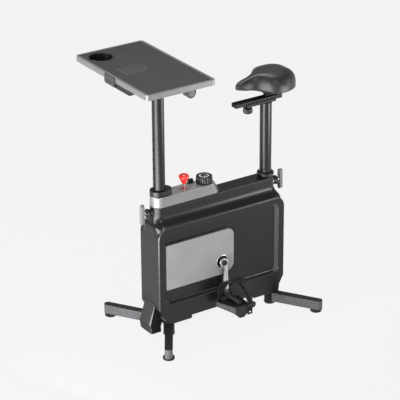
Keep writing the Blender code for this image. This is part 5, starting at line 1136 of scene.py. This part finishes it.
# The catch's tab on the desk's front edge, and the bar beside it
def makeCatch():
    face, top = desk["front"] + gap, desk["top"] - 0.001
    low = top - 0.036
    tab = [(face, top), (face, underDesk), (face - 0.012, underDesk), (face - 0.012, low), (face + 0.004, low),
           (face + 0.004, top)]
    latch = slabMesh([filletPath(tab, [0, 0, 0, 0.002, 0.004, 0.0025])], -0.034, 0.033, "XZ")
    corner = arcPoints((-0.023, low + 0.011), 0.011, 180, 270, 10)
    corner += fromMm([(-23, -10), (-44, -10), (-44, 11)], 0, low)
    slotCut = boxMesh((face + 0.0026, -0.022, top - 0.022), (face + 0.01, 0.021, top - 0.0195))
    latch = combined(latch, cut=[slabMesh([corner], face - 0.02, face + 0.02, "YZ"), slotCut])
    inSlot = bothEnds(lambda co: -0.0221 < co.y < 0.0211 and top - 0.0221 < co.z < top - 0.0194)
    ahead = bothEnds(lambda co: co.x > face + gap)
    soften(latch, 0.0014, 3, 50, lambda edge: ahead(edge) and not inSlot(edge))
    makePiece("desk_catch", latch, darkGreyAndHighlight, "desk", ["desk_latch"], 30)
    barTop, front = desk["bottom"] - 0.0006, desk["front"] - 0.001
    section = roundedLoop((front - 0.019, barTop - 0.019), (front, barTop), 0.0025, 6)
    bar = slabMesh([section], 0.036, 0.1295, "XZ")
    lowEnd = arcPoints((0.1195, barTop - 0.009), 0.010, -90, 0, 10)
    lowEnd += fromMm([(140, -9), (140, -30), (119.5, -30)], 0, barTop)
    bar = soften(combined(bar, cut=[slabMesh([lowEnd], front - 0.03, front + 0.01, "YZ")]), 0.0016, 3, 50)
    makePiece("release_handle", bar, trimPlastic, "release_bar_body", ["release_bar"], 35)


def makeDeskHead():
    half, eye, tilt = desk["half"] - 0.0015, desk["eye"], desk["tilt"]
    rod = rodMesh(0.0065, half - 0.002, 0.002 - half, tilt, "Y")
    makePiece("desk_cross_tube", rod, postPaint, "desk", ["desk_crossbar"])
    loop = arcPoints((tilt[0], tilt[2]), eye, 180, 360, 40)
    loop += [(tilt[0] + eye, underDesk), (tilt[0] - eye, underDesk)]
    for side, word in sides:
        hanger = slabMesh([loop], *sorted((side * (half - 0.030), side * half)), "XZ")
        makePiece(f"{word}_hanger", soften(hanger, 0.0015, 3, 50), darkGreyAndHighlight, "desk", angle=35)
        profile = fromMm([(6.6, -1), (12.2, -1), (12.6, 0.3), (11.5, 1), (6, 1.2), (5, 0.8), (0, 0.8),
                          (0, -1)], 0, half)
        cap = sided(turnedMesh(profile, tilt, "Y"), side)
        makePiece(f"{word}_hanger_cap", cap, greyPlastic, "desk", angle=35)
    profile = fromMm([(6.8, 34), (8, 34), (8.8, 33.2), (8.8, -33.2), (8, -34), (6.8, -34)])
    makePiece("desk_head_eye", turnedMesh(profile, tilt, "Y", closed=True), postPaint, "desk_post_body",
              ["desk_head"], 40)
    foot = fromMm([(0, 996.3), (21.3, 996.3), (22, 997), (22, 1012), (19.5, 1018), (15, 1024), (0, 1027.8)])
    shape = combined(turnedMesh(foot, frontPost, steps=96), cut=[rodMesh(0.0070, 0.05, -0.05, tilt, "Y")])
    makePiece("desk_head_foot", shape, postPaint, "desk_post_body", angle=35)


makeDeskTop()
makeTablet()
makeCup()
makeCatch()
makeDeskHead()
print("desk done")


# Saddle

saddle = {"nose": rearPostX + 0.135, "length": 0.252, "half": 0.087, "crown": 0.083, "railLow": 0.8225,
          "railHigh": 0.8385, "railFront": rearPostX + 0.144, "railLength": 0.207, "panLow": 0.856,
          "pan": 0.005, "base": 0.8613, "clampX": rearPostX + 0.082, "carrierFront": rearPostX + 0.099,
          "carrierLength": 0.132}


# Soft step from 0 to 1 along the saddle
def softStep(share, middle, steepness):
    return 1 / (1 + math.exp((middle - share) * steepness))


# Rounded end of the saddle: 1 inside, falling to 0 where the argument reaches 1
def roundEnd(out, power):
    return math.sqrt(max(0.0, 1 - max(0.0, out) ** power))


def saddleHalf(share):
    nose = 0.0175 + 0.001 * share
    half = nose + (saddle["half"] - nose) * softStep(share, 0.40, 20.5)
    return half * roundEnd((share - 0.60) / 0.403, 2.05) * roundEnd((0.18 - share) / 0.185, 2)


def saddleHeights(share):
    spread = softStep(share, 0.25, 14.5)
    crown = 0.058 + (saddle["crown"] - 0.058) * spread
    tail = roundEnd((share - 0.68) / 0.335, 2.6)
    under = 0.022 * softStep(share, 0.34, -11) + 0.007 * max(0.0, 1 - share / 0.15)
    middle = under + 0.0105 + 0.007 * spread * tail
    return middle + (crown - middle) * tail * roundEnd((0.135 - share) / 0.14, 2), middle, under


def saddleRing(share, count=72):
    half = saddleHalf(share)
    crown, middle, under = saddleHeights(share)
    ring = []
    for i in range(count):
        angle = 2 * math.pi * i / count
        across, up = math.sin(angle), math.cos(angle)
        y = half * math.copysign(abs(across) ** 0.66, across)
        z = middle + ((crown - middle) * up ** 0.68 if up >= 0 else (under - middle) * (-up) ** 0.75)
        ring.append((saddle["nose"] - saddle["length"] * share, y, saddle["base"] + z))
    return ring


def makeCushion():
    shares = [0.004 + 0.988 * (0.5 - 0.5 * math.cos(math.pi * i / 47)) for i in range(48)]
    shape = loftMesh([saddleRing(share) for share in shares])
    for vert in shape.verts:
        share = (saddle["nose"] - vert.co.x) / saddle["length"]
        inside = min(0.99, max(0.01, share))
        lift = vert.co.z - saddle["base"]
        # Stitched line round the flank and a shallow dip along the middle
        if abs(vert.co.y) > 0.5 * max(0.001, saddleHalf(inside)):
            seamHeight = saddleHeights(inside)[1] - 0.001
            vert.co.y -= math.copysign(0.0007 * math.exp(-((lift - seamHeight) / 0.0016) ** 2), vert.co.y)
        if lift > 0.045:
            along = min(1.0, max(0.0, (share - 0.15) * 4)) * max(0.0, 1 - max(0.0, share - 0.8) * 6)
            vert.co.z -= 0.0012 * math.exp(-(vert.co.y / 0.010) ** 2) * along
    cushion = makePiece("saddle_cover", shape, saddleCover, "saddle", ["saddle_cushion"], 60)
    smoothed(cushion)


def makeSaddleFrame():
    railLow, railHigh = saddle["railLow"], saddle["railHigh"]
    low, high = saddle["panLow"] - 0.0002, saddle["panLow"] + saddle["pan"]
    rings = []
    for i in range(17):
        share = 0.46 + 0.42 * i / 16
        x, half = saddle["nose"] - saddle["length"] * share, saddleHalf(share) * 0.5
        rings.append([(x, -half * 0.9, low), (x, half * 0.9, low), (x, half, high), (x, -half, high)])
    pan = soften(loftMesh(rings), 0.0012, 2, 35)
    makePiece("saddle_base", pan, trimPlastic, "saddle", ["saddle_pan"], 35)
    section = fromMm([(-15.5, 0), (15.5, 0)], 0, railLow)
    section += fromMm([(15.5, 0), (5, 0), (5, -4), (-5, -4), (-5, 0), (-15.5, 0)], 0, railHigh)
    front = saddle["railFront"]
    rail = slabMesh([filletPath(section, [0.0015] * 3 + [0.0006] * 4 + [0.0015], 4)],
                    front - saddle["railLength"], front, "YZ")
    stem = rodMesh(0.010, railHigh - 0.005, 0.8554, rearPost, steps=64)
    rail = combined(soften(rail, 0.0008, 2, 60), [stem])
    makePiece("saddle_slide_rail", rail, matteBlackAndShade, "saddle", ["saddle_rail"], 35)
    section = fromMm([(-18.8, -6.3), (18.8, -6.3), (18.8, 5.6), (15.8, 5.6), (15.8, -0.3), (-15.8, -0.3),
                      (-15.8, 5.6), (-18.8, 5.6)], 0, railLow)
    front = saddle["carrierFront"]
    carrier = slabMesh([filletPath(section, [0.0025, 0.0025, 0.001, 0.001, 0, 0, 0.001, 0.001])],
                       front - saddle["carrierLength"], front, "YZ")
    plug = rodMesh(0.0202, 0.786, railLow - 0.0053, rearPost, steps=64)
    hole = rodMesh(0.0043, 0.83, 0.80, (saddle["clampX"], 0, 0), steps=32)
    carrier = combined(soften(carrier, 0.0007, 2, 60), [plug], [hole])
    makePiece("saddle_carrier", carrier, matteBlackAndShade, "saddle_post_body", ["saddle_bracket"], 35)


def makeClampKnob():
    top = saddle["railLow"] - 0.0066
    shoulder = top - 0.006

    def lobed(radius, height, angle):
        return radius if radius < 0.0165 else radius - 0.0014 * (0.5 - 0.5 * math.cos(8 * angle)) ** 1.5

    profile = fromMm([(0, 0.6), (10, 0), (14, 0.2), (16.6, 1.6), (17.8, 4), (18, 8)], 0, shoulder - 0.022)
    profile += fromMm([(18, -6), (17.4, -3), (15.8, -1.2), (11.8, 0), (11, 1)], 0, shoulder)
    profile += fromMm([(11, -0.5), (10.6, 0), (4, 0), (4, 6), (0, 6)], 0, top)
    shape = turnedMesh(profile, (saddle["clampX"], 0, 0), steps=160, radiusAt=lobed)
    makePiece("clamp_grip", shape, trimPlastic, "saddle_clamp", ["saddle_clamp_knob"], 35)


makeCushion()
makeSaddleFrame()
makeClampKnob()
print("saddle done")


# Floor, light and camera

floorTone, floorGlow, worldLight = "262626", 0.875, 0.28
lights = {  # place, target, size and watts
    "front_softbox": ((4.0, -0.2, 1.5), (0.1, 0, 0.5), (1.2, 2.6), 170),
    "side_softbox": ((1.2, 4.6, 3.2), (0, 0, 0.5), (1.2, 2.0), 70),
    "top_softbox": ((0.0, -0.6, 3.4), (0, 0, 0.5), (2.4, 1.6), 75),
    "rear_strip": ((-3.4, 2.2, 1.5), (-0.2, 0, 0.5), (0.5, 2.4), 22),
    "post_strip": ((1.40, 0.42, 0.30), (0.1, 0, 0.70), (1.10, 0.50), 22),
    "rear_post_strip": ((0.744, 0.412, 0.18), (-0.276, 0, 0.72), (0.80, 0.34), 7),
    "low_panel": ((-1.3, 1.7, 0.08), (-0.2, 0, 0.85), (1.2, 1.0), 8),
    "saddle_panel": ((-0.716, 0.668, 0.52), (-0.25, 0, 0.88), (0.5, 0.28), 4.5),
}


def makeStage():
    floor = meshObject("floor", boxMesh((-40, -40, -0.02), (40, 40, 0)))
    material, _, shader = newSurface("pale_floor")
    setInputs(shader, {"Base Color": linearColor(floorTone), "Roughness": 1.0, "Specular IOR Level": 0.0,
                       "Emission Color": linearColor("ffffff"), "Emission Strength": floorGlow})
    floor.data.materials.append(material)


def makeAreaLight(name, place, target, size, energy):
    data = bpy.data.lights.new(name, "AREA")
    data.shape = "RECTANGLE"
    data.size, data.size_y = size
    data.energy = energy
    made = bpy.data.objects.new(name, data)
    made.location = place
    made.rotation_euler = (Vector(target) - Vector(place)).to_track_quat("-Z", "Y").to_euler()
    made.visible_camera = False
    bpy.context.scene.collection.objects.link(made)


def makeWorld():
    world = bpy.data.worlds.new("studio")
    world.use_nodes = True
    setInputs(world.node_tree.nodes["Background"], {"Color": linearColor("ffffff"), "Strength": worldLight})
    bpy.context.scene.world = world


def makeCamera():
    data = bpy.data.cameras.new("camera")
    data.lens = 175.5
    data.sensor_width = 36
    data.sensor_fit = "HORIZONTAL"
    data.shift_x, data.shift_y = -0.00125, 0.00125
    data.clip_end = 100
    camera = bpy.data.objects.new("camera", data)
    back = Vector((0.5006, 0.7589, 0.4166)).normalized()
    right = Vector((-0.8334, 0.5527, -0.0053))
    right = (right - back * right.dot(back)).normalized()
    turn = Matrix((right, back.cross(right), back)).transposed()
    camera.matrix_world = Matrix.Translation((frontPostX + 3.441, 5.490, 3.500)) @ turn.to_4x4()
    bpy.context.scene.collection.objects.link(camera)
    bpy.context.scene.camera = camera


makeStage()
makeWorld()
for name, settings in lights.items():
    makeAreaLight(name, *settings)
makeCamera()
scene = bpy.context.scene
scene.view_settings.view_transform = "Standard"

print("scene done")
